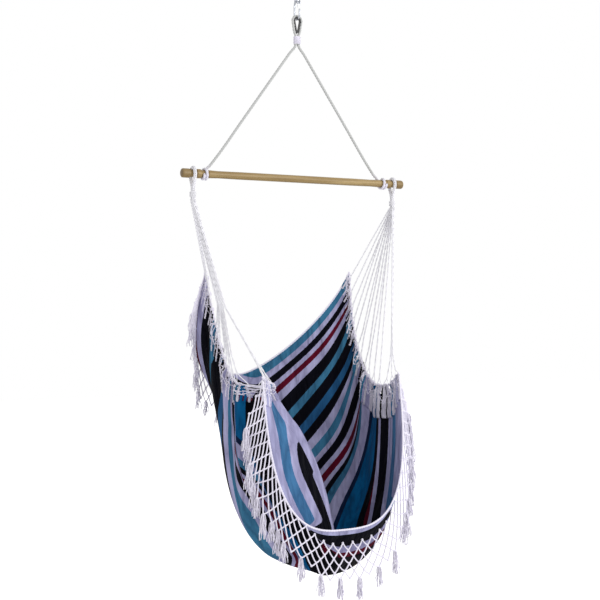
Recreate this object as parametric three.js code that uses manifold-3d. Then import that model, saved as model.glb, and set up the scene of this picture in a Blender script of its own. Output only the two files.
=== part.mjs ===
// Hammock chair: a striped cloth sling with netted fringes, hung by fans of thin cords
// from a turned wooden spreader bar, a rope bridle and a swivel snap hook.
// Millimetres, +Z up, X along the bar, front towards -Y. The origin is the hang point:
// the inner top of the swivel eye, where a ceiling hook carries the chair.
import * as THREE from 'three';
import { mergeVertices } from 'three/addons/utils/BufferGeometryUtils.js';
import Module from 'manifold-3d';

const wasm = await Module();
wasm.setup();

// Clearances shared by all pieces
const gap = 0.3;
const cutOverrun = 2;

// Swivel eye and snap hook
const eyeInnerRadius = 11;
const eyeWireRadius = 4;
const stemRadius = 5;
const stemClearance = 0.4;
const rivetRadius = 7.6;
const rivetHeight = 4.5;
const collarRadius = 11;
const collarHeight = 10;
const collarDrop = 33;
const hookWireRadius = 3.7;
const bowInnerRadius = 16;
const bowBottomDrop = 110;
const noseRise = 36;
const gateThickness = 4;
const gateWidth = 7.4;
const gateWall = 1.4;
const gateOverlap = 7;
const gateEyeRadius = 3.4;
const gatePivotDrop = 50;
const gatePinRadius = 1.4;
const gatePinHeadRadius = 2.4;
const gatePinHeadHeight = 1.2;
const earThickness = 2.4;
const springWireRadius = 0.3;
const springTurns = 2.5;

// Rope bridle with its thimble and seizing
const ropeRadius = 5.5;
const thimbleWall = 2.4;
const thimbleWidth = 13;
const thimbleLip = 2;
const thimbleInnerRadius = 11;
const thimbleTipRadius = 3.6;
const thimbleDrop = 42;
const seizingLength = 34;
const seizingCordRadius = 1.9;
const seizingTurns = 5;
const seizingFlare = 1.06;
const wrapTurns = 1.5;
const wrapPitch = 11.9;
const wrapLiftShare = 0.06;
const ropeLegShares = [0.14, 0.4, 0.7, 0.93];

// Turned spreader bar
const barLength = 1000;
const barDrop = 741;
const barRadius = 14.5;
const barWaistRadius = 13.8;
const shoulderRadius = 15.2;
const shoulderLength = 42;
const grooveRadius = 13.5;
const ropeInset = 96;
const ropeSeat = barLength / 2 - ropeInset;
const ropeGrooveWidth = 31;
const clewInset = 48;
const clewSeat = barLength / 2 - clewInset;
const clewGrooveWidth = 27;
const beadRadius = 17.5;
const edgeRound = 3;
const endDomeShares = [0.9, 0.72, 0.36];

// Clews: the bundles of thin cords that hang on the bar
const clewRadius = 8;
const clewLoopDrop = 52;
const clewArcLap = 0.06;
const clewArcTuck = 0.3;
const neckRadius = 10.5;
const neckLength = 46;
const whippingCordRadius = 1.6;
const whippingTurns = 4;
const cordRadius = 1.9;
const cordsPerSide = 14;
const cordRows = 3;
const cordRowPitch = 4.7;
const cordSpreadPitch = 1.47;

// Sling cloth
const slingHalfWidth = 330;
const slingDepth = 650;
const slingTop = 1100;
const slingDrop = 1170;
const clothThickness = 3;
const clothEdgeGap = 1.5;
const clothAcross = 20;
const clothAlong = 24;
const pleatCount = 5;
const pleatHeight = 9;
const pleatReachShare = 0.34;

// End braids, hem cords, netted fringes and tassels
const braidRadius = 6;
const lumpHeight = 2.6;
const hemRadius = 4;
const netColumns = clothAcross;
const netRows = 3;
const netDrop = 150;
const strandThickness = 3;
const knotRadius = 4.6;
const knotWidthShare = 0.7;
const tasselLength = 62;
const tasselHeadLength = 12.4;
const tasselTopRadius = 3;
const tasselHeadRadius = 5.6;
const tasselEndRadius = 7;
const tasselPlumbShare = 0.8;
const tasselEvery = 2;

// Fineness of the round forms
const ringSides = 8;
const ringSegments = 24;
const turnedSegments = 20;
const barSegments = 16;
const pinSegments = 12;
const neckSegments = 14;
const hookSteps = 30;
const bowSteps = 12;
const clewArcSteps = 9;
const wrapSteps = 20;
const windingSteps = 12;
const cordSides = 6;
const thinCordSides = 5;
const midShare = 0.5;
const shapeSamples = 60;

// Finishes
const steel = new THREE.MeshStandardMaterial({ color: 0xb9bcc2, roughness: 0.28, metalness: 1 });
const blackPlastic = new THREE.MeshStandardMaterial({ color: 0x0c0c10, roughness: 0.5, metalness: 0 });
const cordWhite = new THREE.MeshStandardMaterial({ color: 0xdcd8ea, roughness: 0.9, metalness: 0 });
const wood = new THREE.MeshStandardMaterial({ color: 0xc9a873, roughness: 0.55, metalness: 0 });
const striped = new THREE.MeshStandardMaterial({ color: 0x2f5f86, roughness: 0.92, metalness: 0 });

// A point from its three coordinates
function point(x, y, z) {
  return new THREE.Vector3(x, y, z);
}

// An indexed geometry from points and triangles, turned so that its faces look outwards
function solidFrom(points, triangles) {
  let volume = 0;
  for (const [a, b, c] of triangles) {
    volume += points[a].dot(points[b].clone().cross(points[c]));
  }
  const faces = volume < 0 ? triangles.map(([a, b, c]) => [a, c, b]) : triangles;
  const geometry = new THREE.BufferGeometry();
  const positions = points.flatMap((p) => [p.x, p.y, p.z]);
  geometry.setAttribute('position', new THREE.Float32BufferAttribute(positions, 3));
  geometry.setIndex(faces.flat());
  return geometry;
}

// A closed solid through rings of equal size: capped at both ends, or joined end to start
function ringSolid(rings, closed = false) {
  const sides = rings[0].length;
  const count = rings.length;
  const points = rings.flat();
  const triangles = [];
  for (let i = 0; i < (closed ? count : count - 1); i += 1) {
    const j = (i + 1) % count;
    for (let k = 0; k < sides; k += 1) {
      const m = (k + 1) % sides;
      triangles.push([i * sides + k, j * sides + k, j * sides + m]);
      triangles.push([i * sides + k, j * sides + m, i * sides + m]);
    }
  }
  if (!closed) {
    const last = (count - 1) * sides;
    for (let k = 1; k < sides - 1; k += 1) {
      triangles.push([0, k, k + 1]);
      triangles.push([last, last + k + 1, last + k]);
    }
  }
  return solidFrom(points, triangles);
}

// Frames carried along a path without twist: the tangent and two normals at each point
function framesAlong(path, closed, firstNormal) {
  const count = path.length;
  const frames = [];
  let normal = firstNormal.clone();
  for (let i = 0; i < count; i += 1) {
    const before = closed ? path[(i + count - 1) % count] : path[Math.max(i - 1, 0)];
    const after = closed ? path[(i + 1) % count] : path[Math.min(i + 1, count - 1)];
    const tangent = after.clone().sub(before).normalize();
    normal = normal.clone().addScaledVector(tangent, -normal.dot(tangent)).normalize();
    frames.push({ tangent, normal, side: tangent.clone().cross(normal) });
  }
  return frames;
}

// A round tube along a path, with one radius or a radius for each point
function tube(path, radius, sides, closed = false, firstNormal = point(0.013, 1, 0.017)) {
  const frames = framesAlong(path, closed, firstNormal);
  const rings = path.map((centre, i) => {
    const r = Array.isArray(radius) ? radius[i] : radius;
    return Array.from({ length: sides }, (_, k) => {
      const angle = (2 * Math.PI * k) / sides;
      return centre.clone()
        .addScaledVector(frames[i].normal, r * Math.cos(angle))
        .addScaledVector(frames[i].side, r * Math.sin(angle));
    });
  });
  return ringSolid(rings, closed);
}

// A manifold solid from a geometry, and back
function toSolid(geometry) {
  const bare = geometry.clone();
  bare.deleteAttribute('normal');
  bare.deleteAttribute('uv');
  const merged = mergeVertices(bare, 1e-4);
  const vertProperties = new Float32Array(merged.getAttribute('position').array);
  const triVerts = new Uint32Array(merged.getIndex().array);
  return new wasm.Manifold(new wasm.Mesh({ numProp: 3, vertProperties, triVerts }));
}

function fromSolid(solid) {
  const mesh = solid.getMesh();
  const geometry = new THREE.BufferGeometry();
  geometry.setAttribute('position', new THREE.BufferAttribute(new Float32Array(mesh.vertProperties), 3));
  geometry.setIndex(new THREE.BufferAttribute(new Uint32Array(mesh.triVerts), 1));
  return geometry;
}

// Several geometries joined into one solid
function join(...geometries) {
  return fromSolid(geometries.map(toSolid).reduce((sum, solid) => sum.add(solid)));
}

// One geometry with others cut away
function cut(geometry, ...tools) {
  return fromSolid(tools.map(toSolid).reduce((sum, solid) => sum.subtract(solid), toSolid(geometry)));
}

// A revolved profile of [radius, height] pairs with its axis along Z
function revolved(profile, segments) {
  const outline = profile.map(([r, h]) => new THREE.Vector2(r, h));
  return new THREE.LatheGeometry(outline, segments).rotateX(Math.PI / 2);
}

// A bar of round section along Z or X, centred on its middle
function roundBar(radius, length, axis, segments) {
  const bar = new THREE.CylinderGeometry(radius, radius, length, segments);
  return axis === 'z' ? bar.rotateX(Math.PI / 2) : bar.rotateZ(Math.PI / 2);
}

// A wire swept along a smooth curve through points by the extrusion of a round section
function wire(points, radius, steps, sides) {
  const section = new THREE.Shape();
  section.absarc(0, 0, radius, 0, 2 * Math.PI);
  const extrudePath = new THREE.CatmullRomCurve3(points, false, 'centripetal');
  return new THREE.ExtrudeGeometry(section, { steps, curveSegments: sides / 2, extrudePath });
}

// The rounded value of a table at a share, by a monotone cubic through its points
function blendAt(keyShares, values, share) {
  const last = keyShares.length - 1;
  let k = 0;
  while (k < last - 1 && share > keyShares[k + 1]) k += 1;
  const step = (i) => keyShares[i + 1] - keyShares[i];
  const slope = (i) => (values[i + 1] - values[i]) / step(i);
  const tangentAt = (i) => {
    if (i === 0) return slope(0);
    if (i === last) return slope(last - 1);
    const product = slope(i - 1) * slope(i);
    if (product <= 0) return 0;
    const near = 2 * step(i) + step(i - 1);
    const far = step(i) + 2 * step(i - 1);
    return (near + far) / (near / slope(i - 1) + far / slope(i));
  };
  const t = (share - keyShares[k]) / step(k);
  const a = (1 + 2 * t) * (1 - t) ** 2;
  const b = t * (1 - t) ** 2 * step(k);
  const c = t * t * (3 - 2 * t);
  const d = t * t * (t - 1) * step(k);
  return a * values[k] + b * tangentAt(k) + c * values[k + 1] + d * tangentAt(k + 1);
}

// Swivel eye: a ring on a stem whose riveted head turns under the hook's collar
function swivelEye() {
  const ringCentre = -eyeInnerRadius;
  const ringRadius = eyeInnerRadius + eyeWireRadius;
  const ring = new THREE.TorusGeometry(ringRadius, eyeWireRadius, ringSides, ringSegments)
    .rotateX(Math.PI / 2).translate(0, 0, ringCentre);
  const top = ringCentre - eyeInnerRadius - eyeWireRadius;
  const shoulder = -collarDrop + gap;
  const under = -collarDrop - collarHeight - gap;
  const end = under - rivetHeight;
  const stem = revolved([
    [0, end], [rivetRadius / 2, end], [rivetRadius, end + rivetHeight / 2], [rivetRadius, under],
    [stemRadius, under], [stemRadius, shoulder], [collarRadius - gap, shoulder],
    [stemRadius, top], [0, top],
  ], turnedSegments);
  return join(ring, stem);
}

// Snap hook: collar, back arm, open bow with its nose, and the two ears of the gate
function hookBody() {
  const bowRadius = bowInnerRadius + hookWireRadius;
  const bowCentre = -bowBottomDrop + bowInnerRadius;
  const collarMiddle = -collarDrop - collarHeight / 2;
  const collar = roundBar(collarRadius, collarHeight, 'z', ringSegments).translate(0, 0, collarMiddle);
  const armRoot = collarRadius - gap;
  const path = [
    point(0, armRoot, collarMiddle + collarHeight / 4),
    point(0, (armRoot + bowRadius) / 2, collarMiddle - collarHeight / 2),
    point(0, bowRadius, collarMiddle - 2 * collarHeight),
    point(0, bowRadius, (bowCentre + collarMiddle - 2 * collarHeight) / 2),
  ];
  for (let i = 0; i <= bowSteps; i += 1) {
    const angle = (Math.PI * i) / bowSteps;
    path.push(point(0, bowRadius * Math.cos(angle), bowCentre - bowRadius * Math.sin(angle)));
  }
  path.push(point(0, -bowRadius, -bowBottomDrop + noseRise));
  const frame = wire(path, hookWireRadius, hookSteps, ringSides);
  const pivotY = gatePivotY();
  const earHeight = gatePivotDrop - collarDrop;
  const ears = [-1, 1].map((side) => {
    const outline = new THREE.Shape();
    outline.moveTo(-gateEyeRadius, 0);
    outline.absarc(0, 0, gateEyeRadius, Math.PI, 2 * Math.PI);
    outline.lineTo(-pivotY - stemRadius - stemClearance, earHeight - cutOverrun);
    outline.lineTo(-gateEyeRadius, earHeight - cutOverrun);
    const options = { depth: earThickness, bevelEnabled: false, curveSegments: ringSides };
    const ear = new THREE.ExtrudeGeometry(outline, options);
    ear.rotateX(Math.PI / 2).rotateZ(Math.PI / 2);
    const inner = gateWidth / 2 + gap;
    return ear.translate(side > 0 ? inner : -inner - earThickness, pivotY, -gatePivotDrop);
  });
  const bore = roundBar(stemRadius + stemClearance, collarHeight + 2 * cutOverrun, 'z', ringSegments)
    .translate(0, 0, collarMiddle);
  const pinHole = roundBar(gatePinRadius + gap, gateWidth + 4 * earThickness, 'x', pinSegments)
    .translate(0, pivotY, -gatePivotDrop);
  return cut(join(collar, frame, ...ears), bore, pinHole);
}

// How far to the front the gate hangs: just inside the hook's nose
function gatePivotY() {
  return -bowInnerRadius + gap + gateThickness / 2;
}

// Gate: a folded channel from its pin down behind the nose
function gate() {
  const length = gatePivotDrop - bowBottomDrop + noseRise - gateOverlap;
  const profile = (front) => {
    const outline = new THREE.Shape();
    outline.moveTo(gateEyeRadius, 0);
    outline.absarc(0, 0, gateEyeRadius, 0, Math.PI);
    outline.lineTo(-front, length);
    outline.lineTo(front, length);
    return outline;
  };
  const cheekShape = profile(gateThickness / 2);
  const options = { depth: gateWall, bevelEnabled: false, curveSegments: ringSides };
  const upright = (shape) => new THREE.ExtrudeGeometry(shape, options)
    .rotateX(Math.PI / 2).rotateZ(Math.PI / 2);
  const left = upright(cheekShape).translate(-gateWidth / 2, 0, 0);
  const right = upright(cheekShape).translate(gateWidth / 2 - gateWall, 0, 0);
  const webTop = -2 * gateEyeRadius;
  const web = new THREE.BoxGeometry(gateWidth - gateWall, gateWall, webTop - length)
    .translate(0, -gateThickness / 2 + gateWall / 2, (webTop + length) / 2);
  const bore = roundBar(gatePinRadius + gap, gateWidth + 2 * cutOverrun, 'x', pinSegments);
  return cut(join(left, right, web), bore).translate(0, gatePivotY(), -gatePivotDrop);
}

// Gate pin with a formed head at each end
function gatePin() {
  const half = gateWidth / 2 + gap + earThickness + gap;
  const end = half + gatePinHeadHeight;
  const profile = [
    [0, -end], [gatePinHeadRadius, -end], [gatePinHeadRadius, -half], [gatePinRadius, -half],
    [gatePinRadius, half], [gatePinHeadRadius, half], [gatePinHeadRadius, end], [0, end],
  ];
  return revolved(profile, pinSegments).rotateY(Math.PI / 2).translate(0, gatePivotY(), -gatePivotDrop);
}

// Gate spring: a coil round the pin between the gate's cheeks
function gateSpring() {
  const radius = gatePinRadius + gap + springWireRadius;
  const reach = gateWidth / 2 - gateWall - gap - springWireRadius;
  const steps = windingSteps * springTurns;
  const path = Array.from({ length: steps + 1 }, (_, i) => {
    const angle = (2 * Math.PI * springTurns * i) / steps;
    const along = -reach + (2 * reach * i) / steps;
    return point(along, gatePivotY() + radius * Math.cos(angle), -gatePivotDrop + radius * Math.sin(angle));
  });
  reportSelfGap('gate_spring', path, springWireRadius, windingSteps);
  return tube(path, springWireRadius, thinCordSides, false, point(1, 0, 0));
}

// How far below the bow's inner bottom the thimble's inner top lies, over its whole width
function thimbleTop() {
  const rise = bowInnerRadius - Math.sqrt(bowInnerRadius ** 2 - (thimbleWidth / 2) ** 2);
  return -bowBottomDrop + rise + gap;
}

// A teardrop in the XZ plane: an arc over the top and two straight sides that meet below
function teardrop(top, arcRadius, drop, tipRadius) {
  const arcSteps = bowSteps + 4;
  const sideSteps = 3;
  const centre = top - arcRadius;
  const lean = Math.asin((arcRadius - tipRadius) / drop);
  const path = [];
  for (let i = 0; i <= arcSteps; i += 1) {
    const angle = -lean + ((Math.PI + 2 * lean) * i) / arcSteps;
    path.push(point(arcRadius * Math.cos(angle), 0, centre + arcRadius * Math.sin(angle)));
  }
  const tip = (angle) => point(tipRadius * Math.cos(angle), 0, centre - drop + tipRadius * Math.sin(angle));
  const leftEnd = tip(Math.PI + lean);
  const rightEnd = tip(-lean);
  const left = path[path.length - 1];
  const right = path[0];
  for (let i = 1; i < sideSteps; i += 1) path.push(left.clone().lerp(leftEnd, i / sideSteps));
  path.push(leftEnd, tip(-Math.PI / 2), rightEnd);
  for (let i = 1; i < sideSteps; i += 1) path.push(rightEnd.clone().lerp(right, i / sideSteps));
  return path;
}

// Thimble: a grooved teardrop band between the hook's bow and the rope
function thimble() {
  const middle = thimbleTop() + thimbleWall / 2;
  const path = teardrop(middle, thimbleInnerRadius + thimbleWall / 2, thimbleDrop, thimbleTipRadius);
  const frames = framesAlong(path, true, point(0, 1, 0));
  const half = thimbleWidth / 2;
  const outward = thimbleWall / 2 + thimbleLip;
  const section = [
    [-half, -thimbleWall / 2], [half, -thimbleWall / 2], [half, outward], [half - thimbleWall / 2, outward],
    [half - thimbleWall / 2, thimbleWall / 2], [-half + thimbleWall / 2, thimbleWall / 2],
    [-half + thimbleWall / 2, outward], [-half, outward],
  ];
  const rings = path.map((centre, i) => section.map(([across, out]) => centre.clone()
    .addScaledVector(frames[i].normal, across)
    .addScaledVector(frames[i].side, -out)));
  return ringSolid(rings, true);
}

// The height of the rope's turn over the thimble, and of the seizing below it
function ropeEyeTop() {
  return thimbleTop() + thimbleWall + gap + ropeRadius;
}

function seizingTop() {
  const centre = thimbleTop() - thimbleInnerRadius;
  return centre - thimbleDrop - thimbleTipRadius - thimbleWall - 2 * ropeRadius;
}

// Bridle rope: wrapped on the bar, up one leg, round the thimble, down and wrapped again
function ropePath() {
  const wrapRadius = (grooveRadius + gap + ropeRadius) / Math.cos(Math.PI / wrapSteps);
  const steps = Math.round(wrapTurns * wrapSteps);
  const halfWrap = (wrapTurns * wrapPitch) / 2;
  const beside = ropeRadius + gap;
  const leg = [];
  for (let i = 0; i <= steps; i += 1) {
    const angle = 2 * Math.PI * wrapTurns * (i / steps - 1);
    const x = ropeSeat + halfWrap - (2 * halfWrap * i) / steps;
    leg.push(point(x, wrapRadius * Math.cos(angle), -barDrop + wrapRadius * Math.sin(angle)));
  }
  const leave = leg[leg.length - 1];
  const foot = point(beside, 0, seizingTop() - seizingLength);
  const run = foot.clone().sub(leave);
  const lift = point(-ropeRadius / 4, 0, 2 * ropeRadius);
  leg.push(leave.clone().add(lift));
  leg.push(leave.clone().addScaledVector(run, wrapLiftShare).add(point(lift.x, 0, ropeRadius)));
  for (const share of ropeLegShares) leg.push(leave.clone().addScaledVector(run, share));
  leg.push(foot);
  leg.push(point(beside, 0, seizingTop() - seizingLength / 2));
  leg.push(point(beside, 0, seizingTop()));
  const outer = thimbleInnerRadius + thimbleWall + gap + ropeRadius;
  const centre = ropeEyeTop() - outer;
  const lean = Math.asin((outer - beside) / thimbleDrop) / 2;
  const arc = [];
  for (let i = 0; i <= bowSteps; i += 1) {
    const angle = -lean + ((Math.PI + 2 * lean) * i) / bowSteps;
    arc.push(point(outer * Math.cos(angle), 0, centre + outer * Math.sin(angle)));
  }
  const tip = point(thimbleTipRadius + thimbleWall + 2 * gap + ropeRadius, 0, centre - thimbleDrop);
  const mirrored = (list) => list.map((p) => point(-p.x, p.y, p.z)).reverse();
  const last = leg[leg.length - 1];
  const up = [...leg, last.clone().lerp(tip, midShare), tip, tip.clone().lerp(arc[0], midShare)];
  return [...up, ...arc, ...mirrored(up)];
}

function bridleRope() {
  const path = ropePath();
  reportSelfGap('bridle_rope', path, ropeRadius, wrapSteps / 2);
  return tube(path, ropeRadius, cordSides);
}

// Least gap of a wound tube to itself, measured between points at least some steps apart
function reportSelfGap(name, path, radius, apart) {
  let least = Infinity;
  const length = (a, b) => a.distanceTo(b);
  for (let i = 0; i < path.length; i += 1) {
    for (let j = i + apart; j < path.length; j += 1) {
      least = Math.min(least, length(path[i], path[j]) - 2 * radius);
    }
  }
  console.log(`${name}: least gap to itself ${least.toFixed(2)} mm`);
}

// Seizing: one cord wound round both ropes below the thimble, along a racetrack
function seizing() {
  const around = ropeRadius + gap + seizingCordRadius;
  const beside = ropeRadius + gap;
  const steps = seizingTurns * windingSteps;
  const span = seizingLength - 4 * seizingCordRadius;
  const middle = seizingTop() - seizingLength / 2;
  const path = Array.from({ length: steps + 1 }, (_, i) => {
    const angle = (2 * Math.PI * i) / windingSteps;
    const shift = beside * Math.max(-1, Math.min(1, 2 * Math.cos(angle)));
    const z = middle - span / 2 + (span * i) / steps;
    return point(shift + around * Math.cos(angle), around * Math.sin(angle) * seizingFlare, z);
  });
  reportSelfGap('rope_seizing', path, seizingCordRadius, windingSteps / 2);
  return tube(path, seizingCordRadius, thinCordSides, false, point(0, 0, 1));
}

// Spreader bar: a turned stick with grooves, beads and domed ends
function spreaderBar() {
  const half = barLength / 2;
  const ropeIn = ropeSeat - ropeGrooveWidth / 2;
  const ropeOut = ropeSeat + ropeGrooveWidth / 2;
  const clewIn = clewSeat - clewGrooveWidth / 2;
  const clewOut = clewSeat + clewGrooveWidth / 2;
  const side = [
    [barRadius, 0], [barRadius, ropeIn - 3 * shoulderLength], [barWaistRadius, ropeIn - shoulderLength],
    [shoulderRadius, ropeIn - edgeRound], [shoulderRadius, ropeIn], [grooveRadius, ropeIn + edgeRound / 4],
    [grooveRadius, ropeOut], [beadRadius - edgeRound / 2, ropeOut], [beadRadius, ropeOut + edgeRound],
    [beadRadius, clewIn - edgeRound], [beadRadius - edgeRound / 2, clewIn], [grooveRadius, clewIn],
    [grooveRadius, clewOut], [beadRadius - edgeRound / 2, clewOut], [beadRadius, clewOut + edgeRound],
    [beadRadius, half - 2 * edgeRound], [beadRadius * endDomeShares[0], half - edgeRound],
    [beadRadius * endDomeShares[1], half - edgeRound / 3], [beadRadius * endDomeShares[2], half], [0, half],
  ];
  const mirrored = side.slice(1).map(([r, x]) => [r, -x]).reverse();
  return revolved([...mirrored, ...side], barSegments).rotateY(Math.PI / 2).translate(0, 0, -barDrop);
}

// Clew loop: the cord bundle over the bar, closing into a round neck below it
function clewLoop(side) {
  const ringRadius = grooveRadius + gap + clewRadius;
  const neckTop = -barDrop - clewLoopDrop;
  const half = (hand) => {
    const path = [];
    for (let i = 0; i <= clewArcSteps; i += 1) {
      const angle = -clewArcLap + ((Math.PI / 2 + clewArcTuck + clewArcLap) * i) / clewArcSteps;
      path.push(point(0, hand * ringRadius * Math.sin(angle), -barDrop + ringRadius * Math.cos(angle)));
    }
    const shoulder = path[path.length - 1];
    const foot = point(0, hand * clewRadius / 3, neckTop);
    for (const third of [1, 2, 3]) path.push(shoulder.clone().lerp(foot, third / 3));
    return tube(path, clewRadius, ringSides, false, point(1, 0, 0));
  };
  const neckMiddle = neckTop - neckLength / 2 + cutOverrun;
  const neck = roundBar(neckRadius, neckLength, 'z', neckSegments).translate(0, 0, neckMiddle);
  return join(half(1), half(-1), neck).translate(side * clewSeat, 0, 0);
}

function neckBottom() {
  return -barDrop - clewLoopDrop - neckLength + cutOverrun;
}

// Whipping: thin cord wound round the neck of a clew
function clewWhipping(side) {
  const around = (neckRadius + gap + whippingCordRadius) / Math.cos(Math.PI / windingSteps);
  const steps = whippingTurns * windingSteps;
  const pitch = 2 * whippingCordRadius + 2 * gap;
  const start = neckBottom() + 2 * pitch;
  const path = Array.from({ length: steps + 1 }, (_, i) => {
    const angle = (2 * Math.PI * i) / windingSteps;
    return point(side * clewSeat + around * Math.cos(angle), around * Math.sin(angle),
      start + (pitch * i) / windingSteps);
  });
  reportSelfGap(`clew_whipping ${side}`, path, whippingCordRadius, windingSteps / 2);
  return tube(path, whippingCordRadius, thinCordSides, false, point(0, 0, 1));
}

// Shares of the sling's depth from front to back at which its shape is tabled
const keyShares = [0, 0.15, 0.3, 0.45, 0.6, 0.74, 0.84, 0.92, 1];
// End edges, where the clew cords hold the cloth: shares of half width, depth and drop
const rightEndShares = {
  x: [1, 1, 1, 1, 1, 1, 0.994, 0.964, 0.909],
  y: [0.215, 0.192, 0.154, 0.085, -0.008, -0.123, -0.231, -0.323, -0.415],
  z: [0, 0.111, 0.214, 0.299, 0.363, 0.393, 0.389, 0.368, 0.342],
};
const leftEndShares = {
  x: [1, 0.955, 0.909, 0.903, 0.903, 0.894, 0.63, 0.77, 0.909],
  y: [0.215, 0.192, 0.154, 0.085, -0.008, -0.108, -0.29, -0.37, -0.415],
  z: [0, 0.111, 0.209, 0.282, 0.342, 0.372, 0.38, 0.36, 0.342],
};
// Lowest line from the back edge through the seat to the front edge
const keelShares = {
  x: [-0.3, -0.24, -0.16, -0.09, 0, 0.02, 0.06, 0.03, 0],
  y: [0.446, 0.38, 0.298, 0.197, 0.069, -0.106, -0.265, -0.435, -0.554],
  z: [0.359, 0.496, 0.632, 0.765, 0.897, 0.983, 1, 0.945, 0.825],
};
// Fullness of the curve on each hand: 1 is a straight side, 3 a deep pouch
const leftFullness = [3, 2.8, 2.6, 2.5, 2.3, 1.9, 0.7, 1.15, 3];
const rightFullness = [1.4, 1.45, 1.6, 1.9, 2.2, 2.4, 2.6, 2.8, 3];

// A point of a shares table in millimetres, at a share of the depth
function placed(shares, share, side) {
  return point(side * slingHalfWidth * blendAt(keyShares, shares.x, share),
    slingDepth * blendAt(keyShares, shares.y, share),
    -slingTop - slingDrop * blendAt(keyShares, shares.z, share));
}

// End edge point at a share of the depth: side 1 is the right end, -1 the left end
function endPoint(side, share) {
  return placed(side > 0 ? rightEndShares : leftEndShares, share, side);
}

// Centre line of an end braid
function braidLine(side) {
  const steps = 3 * cordsPerSide;
  return Array.from({ length: steps + 1 }, (_, i) => endPoint(side, i / steps));
}

// How far along a line its distance to a braid first reaches a clearance
function insetAlong(line, lengths, braid, clearance) {
  let k = 0;
  while (distanceToPath(line[k + 1], braid) < clearance) k += 1;
  let [near, far] = [0, 1];
  for (let halving = 0; halving < 12; halving += 1) {
    const middle = (near + far) / 2;
    const probe = line[k].clone().lerp(line[k + 1], middle);
    if (distanceToPath(probe, braid) < clearance) near = middle;
    else far = middle;
  }
  return Math.abs(lengths[k] + (lengths[k + 1] - lengths[k]) * far);
}

// The curve across the sling at a share of the depth, as evenly spaced points
// that keep a clearance to the centre lines of both end braids
function acrossCurve(share, count, clearance) {
  const keel = placed(keelShares, share, 1);
  const limb = (side, fullness) => Array.from({ length: shapeSamples + 1 }, (_, i) => {
    const angle = (Math.PI / 2) * (i / shapeSamples);
    const end = endPoint(side, share);
    const out = Math.cos(angle) ** (2 / fullness);
    const down = Math.sin(angle) ** (2 / fullness);
    return point(THREE.MathUtils.lerp(keel.x, end.x, out), THREE.MathUtils.lerp(end.y, keel.y, down),
      THREE.MathUtils.lerp(end.z, keel.z, down));
  });
  const left = limb(-1, blendAt(keyShares, leftFullness, share));
  const right = limb(1, blendAt(keyShares, rightFullness, share)).reverse();
  const line = [...left, ...right.slice(1)];
  const lengths = [0];
  for (let i = 1; i < line.length; i += 1) lengths.push(lengths[i - 1] + line[i].distanceTo(line[i - 1]));
  const total = lengths[lengths.length - 1];
  const start = insetAlong(line, lengths, braidLine(-1), clearance);
  const reversed = lengths.map((length) => total - length).reverse();
  const end = total - insetAlong([...line].reverse(), reversed, braidLine(1), clearance);
  let k = 0;
  return Array.from({ length: count }, (_, i) => {
    const along = start + ((end - start) * i) / (count - 1);
    while (k < line.length - 2 && lengths[k + 1] < along) k += 1;
    const part = (along - lengths[k]) / (lengths[k + 1] - lengths[k]);
    return line[k].clone().lerp(line[k + 1], part);
  });
}

// Grid of the cloth's middle surface, with gathers that fade away from both ends
function clothGrid() {
  const clearance = braidRadius + lumpHeight + clothEdgeGap + clothThickness / 2;
  const rows = [];
  for (let j = 0; j <= clothAlong; j += 1) {
    rows.push(acrossCurve(j / clothAlong, clothAcross + 1, clearance));
  }
  rows[0] = edgeRow(0, rows[0], rows[1]);
  rows[clothAlong] = edgeRow(1, rows[clothAlong], rows[clothAlong - 1]);
  const normals = gridNormals(rows);
  return rows.map((row, j) => row.map((p, i) => {
    const fromEnd = Math.min(i, clothAcross - i) / clothAcross;
    const rise = Math.min(1, (fromEnd * clothAcross) / 2);
    const fade = rise * Math.max(0, 1 - fromEnd / pleatReachShare) ** 2;
    const hemFade = Math.sqrt(Math.sin((Math.PI * j) / clothAlong));
    const wave = Math.cos((2 * Math.PI * pleatCount * j) / clothAlong);
    return p.clone().addScaledVector(normals[j][i], pleatHeight * fade * hemFade * wave);
  }));
}

// The cloth's edge row: set in from the hem's own row towards the next, clear of the hem cord
function edgeRow(share, row, next) {
  const hem = hemLine(share);
  const clearance = hemRadius + 2 * gap;
  return row.map((p, i) => {
    const inward = next[i].clone().sub(p).normalize();
    let along = clearance;
    while (distanceToPath(p.clone().addScaledVector(inward, along), hem) < clearance) along += gap;
    return p.clone().addScaledVector(inward, along);
  });
}

// Unit normals of a grid of points
function gridNormals(rows) {
  return rows.map((row, j) => row.map((_, i) => {
    const up = rows[Math.max(j - 1, 0)][i];
    const down = rows[Math.min(j + 1, rows.length - 1)][i];
    const left = row[Math.max(i - 1, 0)];
    const right = row[Math.min(i + 1, row.length - 1)];
    return down.clone().sub(up).cross(right.clone().sub(left)).normalize();
  }));
}

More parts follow.
